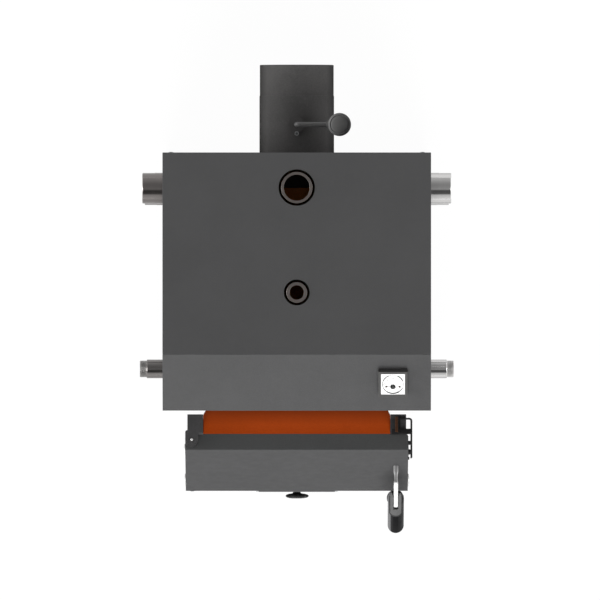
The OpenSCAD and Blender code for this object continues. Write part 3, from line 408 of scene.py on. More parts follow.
zinc_plate = rolled_steel("zinc_plated_steel", (0.62, 0.63, 0.64), 0.3)


# Making pieces
def piece(name, bm, material, body, node=None, sharp=35):
    """Turns a bmesh drawn in millimetres into a piece on a body, which may stand for a node."""
    bmesh.ops.scale(bm, vec=(mm, mm, mm), verts=bm.verts)
    mesh = bpy.data.meshes.new(name)
    bm.to_mesh(mesh)
    bm.free()
    mesh.materials.append(material)
    mesh.shade_smooth()
    mesh.set_sharp_from_angle(angle=math.radians(sharp))
    made = bpy.data.objects.new(name, mesh)
    scene.collection.objects.link(made)
    even = made.modifiers.new("even_faces", "WEIGHTED_NORMAL")
    even.keep_sharp = True
    even.weight = 100
    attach(made, body)
    if node:
        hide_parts(node)
    return made


def node_body(node):
    bodies = frame["record"]["behaviour"]["bodies"]
    return next(body for body, members in bodies.items() if node in members)


def finished(node, name, bm, material, sharp=35):
    """A piece that stands for a node, on the node's own body."""
    return piece(name, bm, material, node_body(node), node, sharp)


def copy_of(node):
    """The solid of a node as a closed mesh of whole faces, in millimetres."""
    bm = bmesh.new()
    bm.from_mesh(nodes[node].data)
    bmesh.ops.scale(bm, vec=(1000, 1000, 1000), verts=bm.verts)
    bmesh.ops.remove_doubles(bm, verts=bm.verts, dist=0.002)
    bmesh.ops.dissolve_limit(bm, angle_limit=math.radians(0.5), verts=bm.verts, edges=bm.edges)
    return bm


def soften(bm, width, segments=2, least=28, choose=None):
    """Rounds every edge that turns by more than the least angle."""
    sharp = [
        e for e in bm.edges
        if len(e.link_faces) == 2 and e.calc_face_angle(0) > math.radians(least)
        and (choose is None or choose(e))
    ]
    bmesh.ops.bevel(bm, geom=sharp, offset=width, offset_type="OFFSET", affect="EDGES",
                    segments=segments, profile=0.5, material=-1, clamp_overlap=True)
    return bm


def rounded(node, name, width, material):
    """A node's own shape with its edges broken, standing for it."""
    finished(node, name, soften(copy_of(node), width), material)


def paint_node(node, material):
    """Keeps the built solid and gives it its finish."""
    mesh = nodes[node].data
    if not mesh.materials:
        mesh.materials.append(material)
    for i in range(len(mesh.materials)):
        mesh.materials[i] = material


def moved(bm, place):
    bmesh.ops.transform(bm, matrix=place, verts=bm.verts)
    return bm


def turned(outline, place=upright, steps=64, ring=False):
    """Spins an outline of (radius, height) points about the place's own Z."""
    bm = bmesh.new()
    verts = [bm.verts.new((r, 0, h)) for r, h in outline]
    pairs = list(zip(verts, verts[1:]))
    if ring:
        pairs.append((verts[-1], verts[0]))
    edges = [bm.edges.new(pair) for pair in pairs]
    bmesh.ops.spin(bm, geom=verts + edges, cent=(0, 0, 0), axis=(0, 0, 1),
                   angle=math.tau, steps=steps, use_merge=True)
    bmesh.ops.remove_doubles(bm, verts=bm.verts, dist=0.001)
    bmesh.ops.recalc_face_normals(bm, faces=bm.faces)
    return moved(bm, place)


def bar(size, place, width):
    """A block with broken edges, centred on its place."""
    bm = bmesh.new()
    bmesh.ops.create_cube(bm, size=1, matrix=Matrix.Diagonal((*size, 1)))
    if width:
        soften(bm, width)
    return moved(bm, place)


def add(target, *sources):
    """Moves the shapes of other bmeshes into the first."""
    for source in sources:
        mesh = bpy.data.meshes.new("scratch")
        source.to_mesh(mesh)
        source.free()
        target.from_mesh(mesh)
        bpy.data.meshes.remove(mesh)
    return target


def towards(point, direction, roll=0.0):
    """A place at a point whose Z runs along a direction."""
    turn = Vector(direction).normalized().to_track_quat("Z", "Y").to_matrix().to_4x4()
    return at(*point) @ turn @ Matrix.Rotation(roll, 4, "Z")


def filleted(points, radius, steps=8):
    """A path whose corners are rounded."""
    points = [Vector(p) for p in points]
    path = [points[0]]
    for before, here, after in zip(points, points[1:], points[2:]):
        back, ahead = (before - here).normalized(), (after - here).normalized()
        half = back.angle(ahead) / 2
        reach = min(radius / math.tan(half), (before - here).length / 2, (after - here).length / 2)
        start, end = here + back * reach, here + ahead * reach
        for i in range(steps + 1):
            t = i / steps
            path.append(start * (1 - t) ** 2 + here * 2 * t * (1 - t) + end * t ** 2)
    path.append(points[-1])
    return path


def from_curve(curve):
    """The shape of a curve, which is used up."""
    holder = bpy.data.objects.new("scratch", curve)
    mesh = bpy.data.meshes.new_from_object(holder)
    bm = bmesh.new()
    bm.from_mesh(mesh)
    bpy.data.objects.remove(holder)
    bpy.data.curves.remove(curve)
    bpy.data.meshes.remove(mesh)
    bmesh.ops.remove_doubles(bm, verts=bm.verts, dist=0.0005)
    return bm


def swept(paths, radius, place=upright, sides=4, closed=False):
    """Round bars along paths of points."""
    curve = bpy.data.curves.new("scratch", "CURVE")
    curve.dimensions = "3D"
    curve.bevel_depth = radius
    curve.bevel_resolution = sides
    curve.use_fill_caps = not closed
    for path in paths:
        spline = curve.splines.new("POLY")
        spline.points.add(len(path) - 1)
        for spot, point in zip(spline.points, path):
            spot.co = (*point, 1)
        spline.use_cyclic_u = closed
    bm = from_curve(curve)
    bmesh.ops.recalc_face_normals(bm, faces=bm.faces)
    return moved(bm, place)


def thread(radius, depth, pitch, start, end, place, per_turn=40):
    """A screw thread's ridge, wound about the place's own Z."""
    bm = bmesh.new()
    root = radius - depth
    half = pitch * 0.5
    points = ((root - 0.3, -half), (root, -half), (radius, -pitch * 0.08), (radius, pitch * 0.08),
              (root, half), (root - 0.3, half))
    verts = [bm.verts.new((r, 0, start + half + h)) for r, h in points]
    face = bm.faces.new(verts)
    turns = (end - start - pitch) / pitch
    steps = int(turns * per_turn)
    bmesh.ops.spin(bm, geom=[face, *face.edges, *verts], cent=(0, 0, 0), axis=(0, 0, 1),
                   dvec=(0, 0, pitch / per_turn), angle=math.tau * steps / per_turn, steps=steps)
    bmesh.ops.recalc_face_normals(bm, faces=bm.faces)
    return moved(bm, place)


def ring_of(bm, outline, height):
    verts = [bm.verts.new((x, y, height)) for x, y in outline]
    return [bm.edges.new((verts[i], verts[(i + 1) % len(verts)])) for i in range(len(verts))]


def polar(radius, angle):
    return radius * math.cos(angle), radius * math.sin(angle)


def circle_of(radius, count):
    return [polar(radius, i * math.tau / count) for i in range(count)]


def socketed_head(radius, height, recess, depth, place, crown=0.75):
    """A screw head with a recess of any outline in its crown."""
    bm = bmesh.new()
    rings = [ring_of(bm, circle_of(radius * share, 24), height * rise)
             for share, rise in ((1, 0), (1, 0.45), (0.93, 0.8), (crown, 1))]
    inner = ring_of(bm, recess, height)
    floor_ring = ring_of(bm, recess, height - depth)
    for low, high in zip(rings, rings[1:]):
        bmesh.ops.bridge_loops(bm, edges=low + high)
    bmesh.ops.bridge_loops(bm, edges=rings[-1] + inner)
    bmesh.ops.bridge_loops(bm, edges=inner + floor_ring)
    bmesh.ops.contextual_create(bm, geom=floor_ring)
    bmesh.ops.contextual_create(bm, geom=rings[0])
    bmesh.ops.recalc_face_normals(bm, faces=bm.faces)
    return moved(bm, place)


def cross_of(arm, half):
    return [(arm, -half), (arm, half), (half, half), (half, arm), (-half, arm), (-half, half),
            (-arm, half), (-arm, -half), (-half, -half), (-half, -arm), (half, -arm), (half, -half)]


def plate_of(outline, thickness, place=upright, width=0.4, segments=2):
    """A flat plate cut to an outline, with broken edges, standing on its place."""
    bm = bmesh.new()
    verts = [bm.verts.new((x, y, 0)) for x, y in outline]
    face = bm.faces.new(verts)
    made = bmesh.ops.extrude_face_region(bm, geom=[face])["geom"]
    upper = [v for v in made if isinstance(v, bmesh.types.BMVert)]
    bmesh.ops.translate(bm, vec=(0, 0, thickness), verts=upper)
    bmesh.ops.recalc_face_normals(bm, faces=bm.faces)
    if width:
        soften(bm, width, segments)
    return moved(bm, place)


def mirrored(bm):
    """Adds the other side of a shape drawn on one side."""
    made = bmesh.ops.duplicate(bm, geom=bm.verts[:] + bm.edges[:] + bm.faces[:])["geom"]
    bmesh.ops.scale(bm, vec=(-1, 1, 1), verts=[v for v in made if isinstance(v, bmesh.types.BMVert)])
    bmesh.ops.reverse_faces(bm, faces=[f for f in made if isinstance(f, bmesh.types.BMFace)])
    return bm


def numbered(texts, size, thickness, place):
    """Plain numbers as thin plates: each is (words, x, y)."""
    bm = bmesh.new()
    for words, x, y in texts:
        curve = bpy.data.curves.new("scratch", "FONT")
        curve.body = words
        curve.size = size
        curve.align_x = "CENTER"
        curve.align_y = "CENTER"
        curve.extrude = thickness / 2
        curve.resolution_u = 3
        add(bm, moved(from_curve(curve), place @ at(x, y, 0)))
    return bm


# Casing
sheet_fold = 0.9
cover_holes = ((Vector((0, top_flow_y)), top_flow_r + 4.95), (Vector((0, top_socket_y)), top_socket_r + 5))


def off_the_holes(edge):
    return all((edge.verts[0].co.xy - middle).length > radius + 1 for middle, radius in cover_holes)


cover = copy_of("top_cover")
for v in cover.verts:
    for middle, radius in cover_holes:
        if (v.co.xy - middle).length < radius:
            v.co.xy = middle + (v.co.xy - middle).normalized() * radius
soften(cover, sheet_fold, choose=off_the_holes)
finished("top_cover", "top_cover_sheet", cover, casing_coat)
rounded("fascia_panel", "fascia_sheet", 0.7, fascia_coat)
for side in ("left", "right"):
    rounded(f"{side}_side_panel", f"{side}_side_sheet", 0.6, casing_coat)
rounded("rear_panel", "rear_sheet", 0.5, casing_coat)
rounded("front_upper_panel", "front_upper_sheet", 0.5, casing_coat)
rounded("front_surround", "front_surround_sheet", 0.5, casing_coat)
rounded("base_plate", "base_sheet", 1.0, base_coat)
rounded("base_rails", "base_channels", 1.2, base_coat)
for name in ("side_lagging", "rear_lagging", "top_lagging"):
    paint_node(name, wool)

# Screws of the rear panel, down each side
screws = bmesh.new()
screw_count = 4
screw_x = half_w - 16
lowest_screw, highest_screw = 18, 1042
for i in range(screw_count):
    height = lowest_screw + i * (highest_screw - lowest_screw) / (screw_count - 1)
    spot = towards((screw_x, half_d, height), (0, 1, 0), i * 1.1)
    washer = turned([(0, 0), (5.2, 0), (5.2, 0.4), (0, 0.4)], spot, 24)
    add(screws, washer, socketed_head(4.4, 1.4, cross_of(2.3, 0.5), 0.9, spot))
finished("casing_screws", "rear_panel_screws", mirrored(screws), zinc_plate)

# Vessel
for name in ("vessel_floor", "side_jackets", "chamber_sides", "rear_jackets",
             "vessel_top_plate", "vessel_front_plate", "inner_ledges", "jacket_stays"):
    paint_node(name, orange_coat)
# The crown takes the paler copy of the orange coat: painted light
paint_node("vessel_crown", crown_lit_coat)
rounded("neck_walls", "neck_wall_plates", 1.2, neck_coat)
rounded("neck_front_panel", "neck_front_plate", 0.8, orange_coat)

# Hearth
rounded("grate", "cast_grate", 1.6, iron)
rounded("firebricks", "clay_bricks", 1.8, brick_clay)
rounded("smoke_baffle", "baffle_plate", 2.0, baffle_iron)
rounded("ash_box", "ash_drawer", 0.5, ash_sheet)

# Side pipes and fittings, which start behind the casing's sheets
pipe_in = half_w - 25
stub_end = half_w + 40
stub_step = stub_end - 24
collar_end = half_w + 36
fitting_end = half_w + 49.6
thread_r, thread_depth, thread_pitch = 16.6, 0.55, 1.81


def pipe_stub(side, z):
    """A side pipe with a shallow turned end."""
    end_r = stub_r - 0.35
    outline = [(stub_bore, pipe_in), (stub_r, pipe_in), (stub_r, stub_step - 0.5), (end_r, stub_step + 0.2),
               (end_r, stub_end - 1), (end_r - 1, stub_end), (stub_bore + 0.75, stub_end),
               (stub_bore, stub_end - 0.8)]
    return turned(outline, towards((0, stub_y, z), (side, 0, 0)), 96, ring=True)


def fitting_collar(place):
    outline = [(fitting_bore, pipe_in), (fitting_r, pipe_in), (fitting_r, collar_end - 0.8),
               (fitting_r - 0.75, collar_end), (fitting_bore, collar_end)]
    return turned(outline, place, 96, ring=True)


def fitting_thread(place):
    root = thread_r - thread_depth
    outline = [(fitting_bore, collar_end - 1), (root, collar_end - 1), (root, fitting_end - 0.6),
               (root - 0.65, fitting_end), (fitting_bore + 0.6, fitting_end),
               (fitting_bore, fitting_end - 0.6)]
    ridge = thread(thread_r, thread_depth, thread_pitch, collar_end + 0.2, fitting_end - 0.4, place)
    return add(turned(outline, place, 96, ring=True), ridge)


# Each side takes its own shaded or lit copy of the steel: painted shade on the left, painted reflection on
# the right
for side, words, steel, collar_steel, cut_steel in (
        (1, "right", pipe_steel_lit_right, collar_steel_lit_right, thread_steel_lit_right),
        (-1, "left", pipe_steel_shaded_left, collar_steel_shaded_left, thread_steel_shaded_left)):
    stubs = add(bmesh.new(), pipe_stub(side, flow_z), pipe_stub(side, return_z))
    finished("side_pipes", f"{words}_pipe_stubs", stubs, steel)
    fitting_spot = towards((0, fitting_y, return_z), (side, 0, 0))
    finished("side_fittings", f"{words}_fitting_collar", fitting_collar(fitting_spot), collar_steel)
    finished("side_fittings", f"{words}_fitting_thread", fitting_thread(fitting_spot), cut_steel)


# Top pipes
def top_pipe(name, node, y, outer, bore, chamfer=0.4):
    """An upright pipe that ends just above the cover, faced and chamfered."""
    start, end = cover_top - 100, cover_top + 3
    outline = [(bore, start), (outer, start), (outer, end - chamfer), (outer - chamfer, end),
               (bore + chamfer, end), (bore, end - chamfer)]
    finished(node, name, turned(outline, at(0, y, 0), 96, ring=True), steel_z)


top_pipe("top_flow_tube", "top_flow_pipe", top_flow_y, top_flow_r, top_flow_bore)
top_pipe("top_socket_tube", "top_socket", top_socket_y, top_socket_r, top_socket_bore)

# Flue: its end is turned down a little from a step
flue_start, flue_step, flue_end = 177, 361, 421.5
flue_end_r = flue_r - 0.7
flue_outline = [(flue_bore, flue_start), (flue_r, flue_start), (flue_r, flue_step - 0.5),
                (flue_r - 0.2, flue_step + 0.3), (flue_end_r, flue_step + 0.6), (flue_end_r, flue_end - 1.2),
                (flue_end_r - 0.8, flue_end), (flue_bore + 0.8, flue_end), (flue_bore, flue_end - 0.9)]
flue = turned(flue_outline, towards((0, 0, flue_z), (0, 1, 0)), 128, ring=True)
finished("flue_pipe", "flue_tube", flue, flue_coat)

# Damper: boss with its lock screw, disc, rod with a nut below, and knob
rounded("damper_boss", "damper_seat", 1.0, flue_coat)
lock_spot = at(0, damper_y - 17.25, flue_z + 78.5)
lock_screw = socketed_head(4.7, 7.2, circle_of(2.9, 6), 5, lock_spot, 0.85)
piece("damper_lock_screw", lock_screw, zinc_plate, "boiler")
rod_r = 5
disc_r = 66.5
disc_outline = [(rod_r, -2), (disc_r - 1.5, -2), (disc_r, -0.8), (disc_r, 0.8), (disc_r - 1.5, 2), (rod_r, 2)]
disc = turned(disc_outline, towards((0, damper_y, flue_z), (0, 1, 0)), 96, ring=True)
finished("damper_plate", "damper_disc", disc, iron)
knob_x = 83
rod_path = filleted([(0, damper_y, flue_z - 82.5), (0, damper_y, damper_rod_z),
                     (knob_x - 19, damper_y, damper_rod_z)], 9)
rod = swept([rod_path], rod_r, sides=8)
nut_outline = [(0, -6), (8.4, -6), (9.2, -5.2), (9.2, -1), (8.4, 0), (0, 0)]
add(rod, turned(nut_outline, at(0, damper_y, flue_z - 74), 6))
finished("damper_rod", "damper_spindle", rod, rod_coat)
knob_outline = [(0, -14), (12, -14), (13.5, -13.2), (18, -11.2), (21.4, -7), (22.5, -1), (22.3, 4),
                (21.2, 8.2), (20.4, 9.6), (19.2, 10.6), (18.2, 10.8), (17.6, 10.2), (16.9, 10.3),
                (16.4, 11.2), (15.4, 11.9), (12, 12.7), (7, 13.6), (0, 14)]
knob = turned(knob_outline, at(knob_x, damper_y, damper_rod_z), 96)
collar_spot = towards((knob_x - 26, damper_y, damper_rod_z), (1, 0, 0))
add(knob, turned([(5.2, 0), (5.9, 0), (6.3, 1), (6.5, 7), (5.2, 7)], collar_spot, 48, ring=True))
finished("damper_knob", "damper_hand_knob", knob, knob_plastic)

# Doors: sheet trays with boards and shields; the faces of the loading door that turn up take a paler copy of
# its coat, as painted light
pan = soften(copy_of("loading_door_pan"), 1.2)
pan.normal_update()
up = loading_place.to_3x3() @ Vector((0, 0, 1))
for f in pan.faces:
    # Faces turned up take the paler copy: painted light
    f.material_index = 1 if f.normal.dot(up) > 0.9 else 0
pan_piece = finished("loading_door_pan", "loading_door_sheet", pan, door_coat)
pan_piece.data.materials.append(door_top_lit_coat)
rounded("lower_door_pan", "lower_door_sheet", 1.2, door_coat)
for door in ("loading", "lower"):
    paint_node(f"{door}_door_board", board_wool)
    rounded(f"{door}_door_shield", f"{door}_door_casting", 1.8, iron)

# Gasket ropes
rope_half = 6
rope_corner = 12
rope_step = 2.2
strand_r = 2.75
twist_length = 26


def frame_line(x0, x1, z0, z1):
    """A line round a frame, in the door's plane, with quarter turns at its corners."""
    x0, x1, z0, z1 = x0 + rope_corner, x1 - rope_corner, z0 + rope_corner, z1 - rope_corner
    path = []
    for x, z, start in ((x1, z1, 0), (x0, z1, 90), (x0, z0, 180), (x1, z0, 270)):
        for i in range(7):
            across, up = polar(rope_corner, math.radians(start + i * 15))
            path.append(Vector((x + across, 0, z + up)))
    path.append(path[0])
    return path


def stepped(path, step):
    """Even spots along a path, each with the path's direction there."""
    spots = []
    for a, b in zip(path, path[1:]):
        count = max(1, round((b - a).length / step))
        spots += [(a.lerp(b, i / count), (b - a).normalized()) for i in range(count)]
    return spots


def gasket(node, name, place):
    """A twisted glass rope laid round the door's board in the space its solid holds."""
    bm = moved(copy_of(node), place.inverted())
    low = Vector([min(v.co[i] for v in bm.verts) for i in range(3)])
    high = Vector([max(v.co[i] for v in bm.verts) for i in range(3)])
    bm.free()
    line = frame_line(low.x + rope_half, high.x - rope_half, low.z + rope_half, high.z - rope_half)
    spots = stepped(line, rope_step)
    turns = round(len(spots) * rope_step / twist_length)
    middle, deep = (low.y + high.y) / 2, (high.y - low.y) / 2
    strands = [[], [], []]
    for s, strand in enumerate(strands):
        for i, (spot, along) in enumerate(spots):
            a = math.tau * (turns * i / len(spots) + s / 3)
            out = along.cross(Vector((0, 1, 0)))
            strand.append(spot + out * (rope_half - 2.9) * math.cos(a)
                          + Vector((0, middle + (deep - 2.4) * math.sin(a), 0)))
    rope = swept(strands, strand_r, place, sides=2, closed=True)
    finished(node, name, rope, rope_yarn, sharp=80)


gasket("loading_door_rope", "loading_door_gasket", loading_place)
gasket("lower_door_rope", "lower_door_gasket", lower_place)


# Round caps and studs on the loading door's sides
def door_cap(side, share, height):
    spot = towards((side * door_half, pin_y, -loading_h * share), (side, 0, 0))
    return turned([(0, -1), (12.5, -1), (12.5, height * 0.4), (11.6, height * 0.73), (9.2, height * 0.83),
                   (8.6, height * 0.67), (7.6, height * 0.7), (7.0, height * 0.97), (0, height)], spot, 48)


upper_cap, lower_cap = 0.21, 0.93
caps = add(door_cap(1, lower_cap, 3), door_cap(-1, lower_cap, 3), door_cap(-1, upper_cap, 3))
finished("loading_door_caps", "door_side_caps", moved(caps, loading_place), cap_steel)
studs = bmesh.new()
for y, z, radius, height in ((-13, -18, 4.1, 5), (-26, -36, 5.3, 4.6), (-26, -79, 2.8, 2.4)):
    spot = towards((door_half, y, z), (1, 0, 0))
    add(studs, socketed_head(radius, height, circle_of(radius * 0.5, 6), height * 0.5, spot, 0.85))
add(studs, door_cap(1, upper_cap, 1))
finished("loading_door_caps", "door_side_studs", moved(studs, loading_place), black_oxide)

# Hinge arms: their faces to the front are painted dark where the pin and the catch are, as painted shade
arm_rear, rear_cut = 37, 1.8


def outer_bend(edge):
    """The long edges on the outer side of the left upper arm, behind the pin."""
    is_long = abs(edge.verts[0].co.z - edge.verts[1].co.z) > 10
    return is_long and all(v.co.x < -door_half + 0.2 and v.co.y > -14 and v.co.z > 0 for v in edge.verts)


arms = soften(moved(copy_of("neck_brackets"), loading_place.inverted()), 3.6, 4, 60, outer_bend)
for v in arms.verts:
    if v.co.z > 0 and abs(v.co.y - arm_rear) < 0.5:
        v.co.y -= rear_cut
soften(arms, 0.25, 1)
arms.normal_update()
for f in arms.faces:
    x = f.calc_center_median().x
    to_front = f.normal.y < -0.15 and abs(f.normal.z) < 0.9
    f.material_index = 1 if to_front and (x < pin_x + 14 or x > 0) else 0
arms_piece = finished("neck_brackets", "hinge_arms", moved(arms, loading_place), bracket_coat)
arms_piece.data.materials.append(bracket_black_and_shade)

# Hinge pins at the top and the bottom of each door, with domed heads
pins = bmesh.new()
pin_outline = [(0, -18), (3.4, -18), (4, -17.4), (4, 8), (2.5, 9.5), (2.5, 16.2), (1.7, 16.9), (0, 17)]
for place, height in ((loading_place, loading_h), (lower_place, lower_h)):
    for drop, turn in ((0, 0), (height, math.pi)):
        spot = place @ at(pin_x, pin_y, -drop) @ tipped(turn)
        add(pins, turned(pin_outline, spot, 32))
finished("hinge_pins", "hinge_pin_set", pins, pin_glint_steel)

# Handles: spindle, flat lever with a rounded head, moulded grip with a seat for the lever
handle_out = door_t + 34
handle_drop = 110.8
handle_lean = math.radians(33)
lever_half, lever_t, lever_end = 4.1, 5, -60.8
lever_slot = lever_half + 0.6
grip_half = 15.6
rim_half, rim_end = 13.2, -77
pad_half, pad_end = 10.9, -72.5


def half_round(across, up, middle):
    """Half an oval on the line y = middle, from -across over the middle to across."""
    return [(-across * math.cos(math.radians(a)), middle + up * math.sin(math.radians(a)))
            for a in range(0, 181, 15)]


def handle_spindle(place):
    """The spindle through the door, and the cam behind it."""
    outline = [(0, -5), (4.7, -5), (4.7, 44), (4.4, 46), (3.5, 50), (3.3, 53), (3.3, 62), (4.2, 65),
               (3.8, 66.4), (0, 66.4)]
    spindle = turned(outline, place @ towards((0, 0, 0), (0, -1, 0)), 40)
    return add(spindle, bar((12, 4, 20), place @ at(0, 3, -10), 0.8))


def handle_lever(flat):
    outline = half_round(lever_half, lever_half, -1.2)
    outline += [(lever_half, lever_end + 1.4), (lever_half - 1.5, lever_end),
                (1.5 - lever_half, lever_end), (-lever_half, lever_end + 1.4)]
    return plate_of(outline, lever_t, flat @ at(0, 0, -lever_t / 2), 0.7)


def grip_neck(flat):
    """The part of the grip that rises behind the lever."""
    outline = [(-9.4, -30), (9.4, -30), (11.8, -34), (grip_half - 0.2, -42), (grip_half, -54),
               (-grip_half, -54), (0.2 - grip_half, -42), (-11.8, -34)]
    return plate_of(outline, 10, flat @ at(0, 0, -12.6), 2.2, 3)


def grip_rim(flat):
    """The low step of the seat."""
    outline = [(-9.0, -27), (9.0, -27), (rim_half, -36)]
    outline += half_round(-rim_half, -11.5, rim_end)
    outline += [(-rim_half, -36)]
    return plate_of(outline, 2.0, flat @ at(0, 0, -3.2), 0.6)


def grip_seat(flat):
    """The raised step of the seat, open at the lever."""
    outline = [(-8.4, -25.5), (-pad_half, -33)]
    outline += half_round(pad_half, -10, pad_end)
    outline += [(pad_half, -33), (8.4, -25.5), (7.4, -26.5), (lever_slot, -34), (lever_slot, -66.6),
                (-lever_slot, -66.6), (-lever_slot, -34), (-7.4, -26.5)]
    return plate_of(outline, 4.6, flat @ at(0, 0, -2.4), 0.5)


def handle(place, drop, lean, prefix):
    """A handle so far below the door's top. Its body and its nodes have the prefix in their names."""
    spot = place @ at(handle_x, 0, -drop)
    blade = spot @ at(0, -handle_out, 0) @ tipped(-lean)
    flat = blade @ tipped(math.pi / 2)
    finished(f"{prefix}_lever", f"{prefix}_spindle", handle_spindle(spot), spindle_steel)
    finished(f"{prefix}_lever", f"{prefix}_lever_bar", handle_lever(flat), lever_sheen_steel)
    grip = add(soften(copy_of(f"{prefix}_grip"), 1.6, 3), grip_neck(flat))
    finished(f"{prefix}_grip", f"{prefix}_grip_body", grip, grip_plastic)
    # The seat and its step take the paler copies of the grip plastic: painted reflection
    piece(f"{prefix}_grip_rim", grip_rim(flat), step_painted_reflection, prefix)
    piece(f"{prefix}_grip_seat", grip_seat(flat), seat_painted_reflection, prefix)


handle(loading_place, handle_drop, handle_lean, "loading_handle")
handle(lower_place, lower_h * 0.35, 0, "lower_handle")

# Safety catch: a bent wire, its pin, a bar across to the wire and a strip beside the spring
catch_x, catch_y, catch_z = 200, 28, 15.3
catch_out = 222.6
catch_bar_x = catch_x - 1.3
catch_bar_y = -0.3
wire_r = 1.9
wire_y, wire_z = catch_y - 2.4, catch_z + 1.5
wire_end = -53
wire_path = filleted([(catch_x, wire_y, wire_z), (catch_out, wire_y, wire_z), (catch_out, wire_end, wire_z),
                      (catch_out - 2, wire_end, wire_z)], 5)
catch = swept([wire_path], wire_r)
catch_pin = turned([(0, 3), (3, 3), (3, 15.2), (2.2, 16.0), (0, 16.0)], at(catch_x, catch_y, 0), 32)
catch_bar = bar((catch_out - catch_bar_x, 11, 3.4),
                at((catch_out + catch_bar_x) / 2, catch_bar_y, catch_z + 1.9), 1.2)
catch_strip = bar((3, 26, 2.4), at(catch_x, 15, catch_z + 1.2), 0.4)
add(catch, catch_pin, catch_bar, catch_strip)
finished("safety_catch", "catch_wire", moved(catch, loading_place), black_oxide)

# Spring on the bracket beside the catch
coils, coil_steps = 14, 16
spring_x, spring_z, spring_r, spring_wire_r = 193.6, 19.6, 2.3, 0.7
spring_start, spring_length = -2, 31
spring_path = []
for i in range(coils * coil_steps + 1):
    x, z = polar(spring_r, math.tau * i / coil_steps)
    y = spring_start + spring_length * i / (coils * coil_steps)
    spring_path.append((spring_x + x, y, spring_z + z))
spring = swept([spring_path], spring_wire_r, loading_place, sides=2)
piece("catch_spring", spring, spring_copper, "boiler")

# Black plates under the spring: a thin one, and a crosspiece in line with the catch's bar
back_plate = bar((14, 31, 1.4), loading_place @ at(190.9, 9.7, 15.4), 0.3)
piece("catch_back_plate", back_plate, base_coat, "boiler")
crosspiece = bar((13.4, 11, 1.6), loading_place @ at(191.2, catch_bar_y, 15.6), 0.3)
piece("catch_crosspiece", crosspiece, bracket_black_and_shade, "boiler")

# Air flap with its hinge pin
rounded("air_flap", "air_flap_plate", 0.8, bracket_coat)
rounded("flap_hinge", "flap_hinge_lugs", 0.8, zinc_plate)

# Star knob: a disc with waves round its edge, a raised ring on it and a hub behind it
flap_drop, flap_h = lower_h - 195, 105
star_place = lower_place @ at(0, 0, -flap_drop - flap_h * 0.55)
star_spot = star_place @ towards((0, 0, 0), (0, -1, 0))
star_back = door_t + 16.1
star_r = 21.3
star_points = 7
star_wave = 0.10
star = turned([(0, 0), (10, 0.2), (16, 1.2), (19.6, 2.6), (21.0, 4.0), (star_r, 5.4), (20.9, 6.8),
               (19.0, 8.4), (14, 9.8), (8, 10.2), (0, 10.2)], steps=112)
for v in star.verts:
    a = math.atan2(v.co.y, v.co.x)
    reach = (v.co.xy.length / star_r) ** 2
    v.co.xy *= 1 + star_wave * reach * math.cos(star_points * a + 0.5)
bmesh.ops.translate(star, vec=(0, 0, star_back), verts=star.verts)
star_ring = turned([(0, star_back + 9), (11, star_back + 9), (10.4, star_back + 10.2), (8.8, star_back + 9.8),
                    (0, star_back + 9.4)], steps=48)
star_hub = turned([(0, door_t + 4.7), (7.6, door_t + 4.7), (7.2, door_t + 8), (7.2, star_back - 2),
                   (9.6, star_back + 1), (0, star_back + 1)], steps=48)
add(star, star_ring, star_hub)
finished("star_knob", "star_hand_knob", moved(star, star_spot), star_plastic)
star_stud = turned([(0, door_t), (4, door_t), (4, door_t + 6), (0, door_t + 6)], star_spot, 32)
piece("star_knob_stud", star_stud, zinc_plate, "flap_knob")

# Gauge: case, white dial, and the tube to its sensor
rounded("gauge_housing", "gauge_case", 0.7, gauge_coat)
paint_node("gauge_dial", dial_plate)
paint_node("gauge_sensor", zinc_plate)
dial_top = 10.9
pivot_y = -5.4
print_t = 0.08
band_r, scale_r, number_r = 20.3, 14.6, 18.2


def arc(width, start, end, steps=24):
    """A printed arc: a thin flat ribbon round the dial's middle."""
    angles = [math.radians(start + (end - start) * i / steps) for i in range(steps + 1)]
    outer, inner = band_r + width / 2, band_r - width / 2
    outline = [polar(outer, a) for a in angles] + [polar(inner, a) for a in reversed(angles)]
    return plate_of(outline, print_t, gauge_place @ at(0, 0, dial_top), 0)


def on_dial(radius, angle, height):
    """A place at a radius and an angle about the needle's pivot."""
    x, y = polar(radius, angle)
    return gauge_place @ at(x, pivot_y + y, height)


marks = bmesh.new()
for start, end, width in ((22, 64, 2.2), (64, 112, 0.6), (112, 158, 1.8), (205, 335, 1.5), (236, 304, 2.4),
                          (-25, 22, 0.6), (158, 205, 0.9)):
    add(marks, arc(width, start, end))
for i in range(11):
    a = math.radians(210 - i * 24)
    length = 1.1 if i % 2 else 1.8
    spot = on_dial(scale_r, a, dial_top + print_t / 2) @ Matrix.Rotation(a, 4, "Z")
    add(marks, bar((length, 0.5, print_t), spot, 0))
piece("dial_printed_marks", marks, dial_ink, "boiler")

numbers = []
for i in range(5):
    x, y = polar(number_r, math.radians(162 - i * 36))
    numbers.append((str(20 * (i + 1)), x, pivot_y + y))
figures = numbered(numbers, 4.4, 0.1, gauge_place @ at(0, 0, dial_top + 0.03))
piece("dial_numbers", figures, number_ink, "boiler")

dots = bmesh.new()
for x in (-12.8, 12.8):
    dot_spot = gauge_place @ at(x, pivot_y, dial_top - 0.1)
    add(dots, turned([(0, 0), (2.1, 0), (2.1, 0.3), (1.5, 0.6), (0, 0.7)], dot_spot, 24))
piece("dial_rivets", dots, rivet_brown, "boiler")

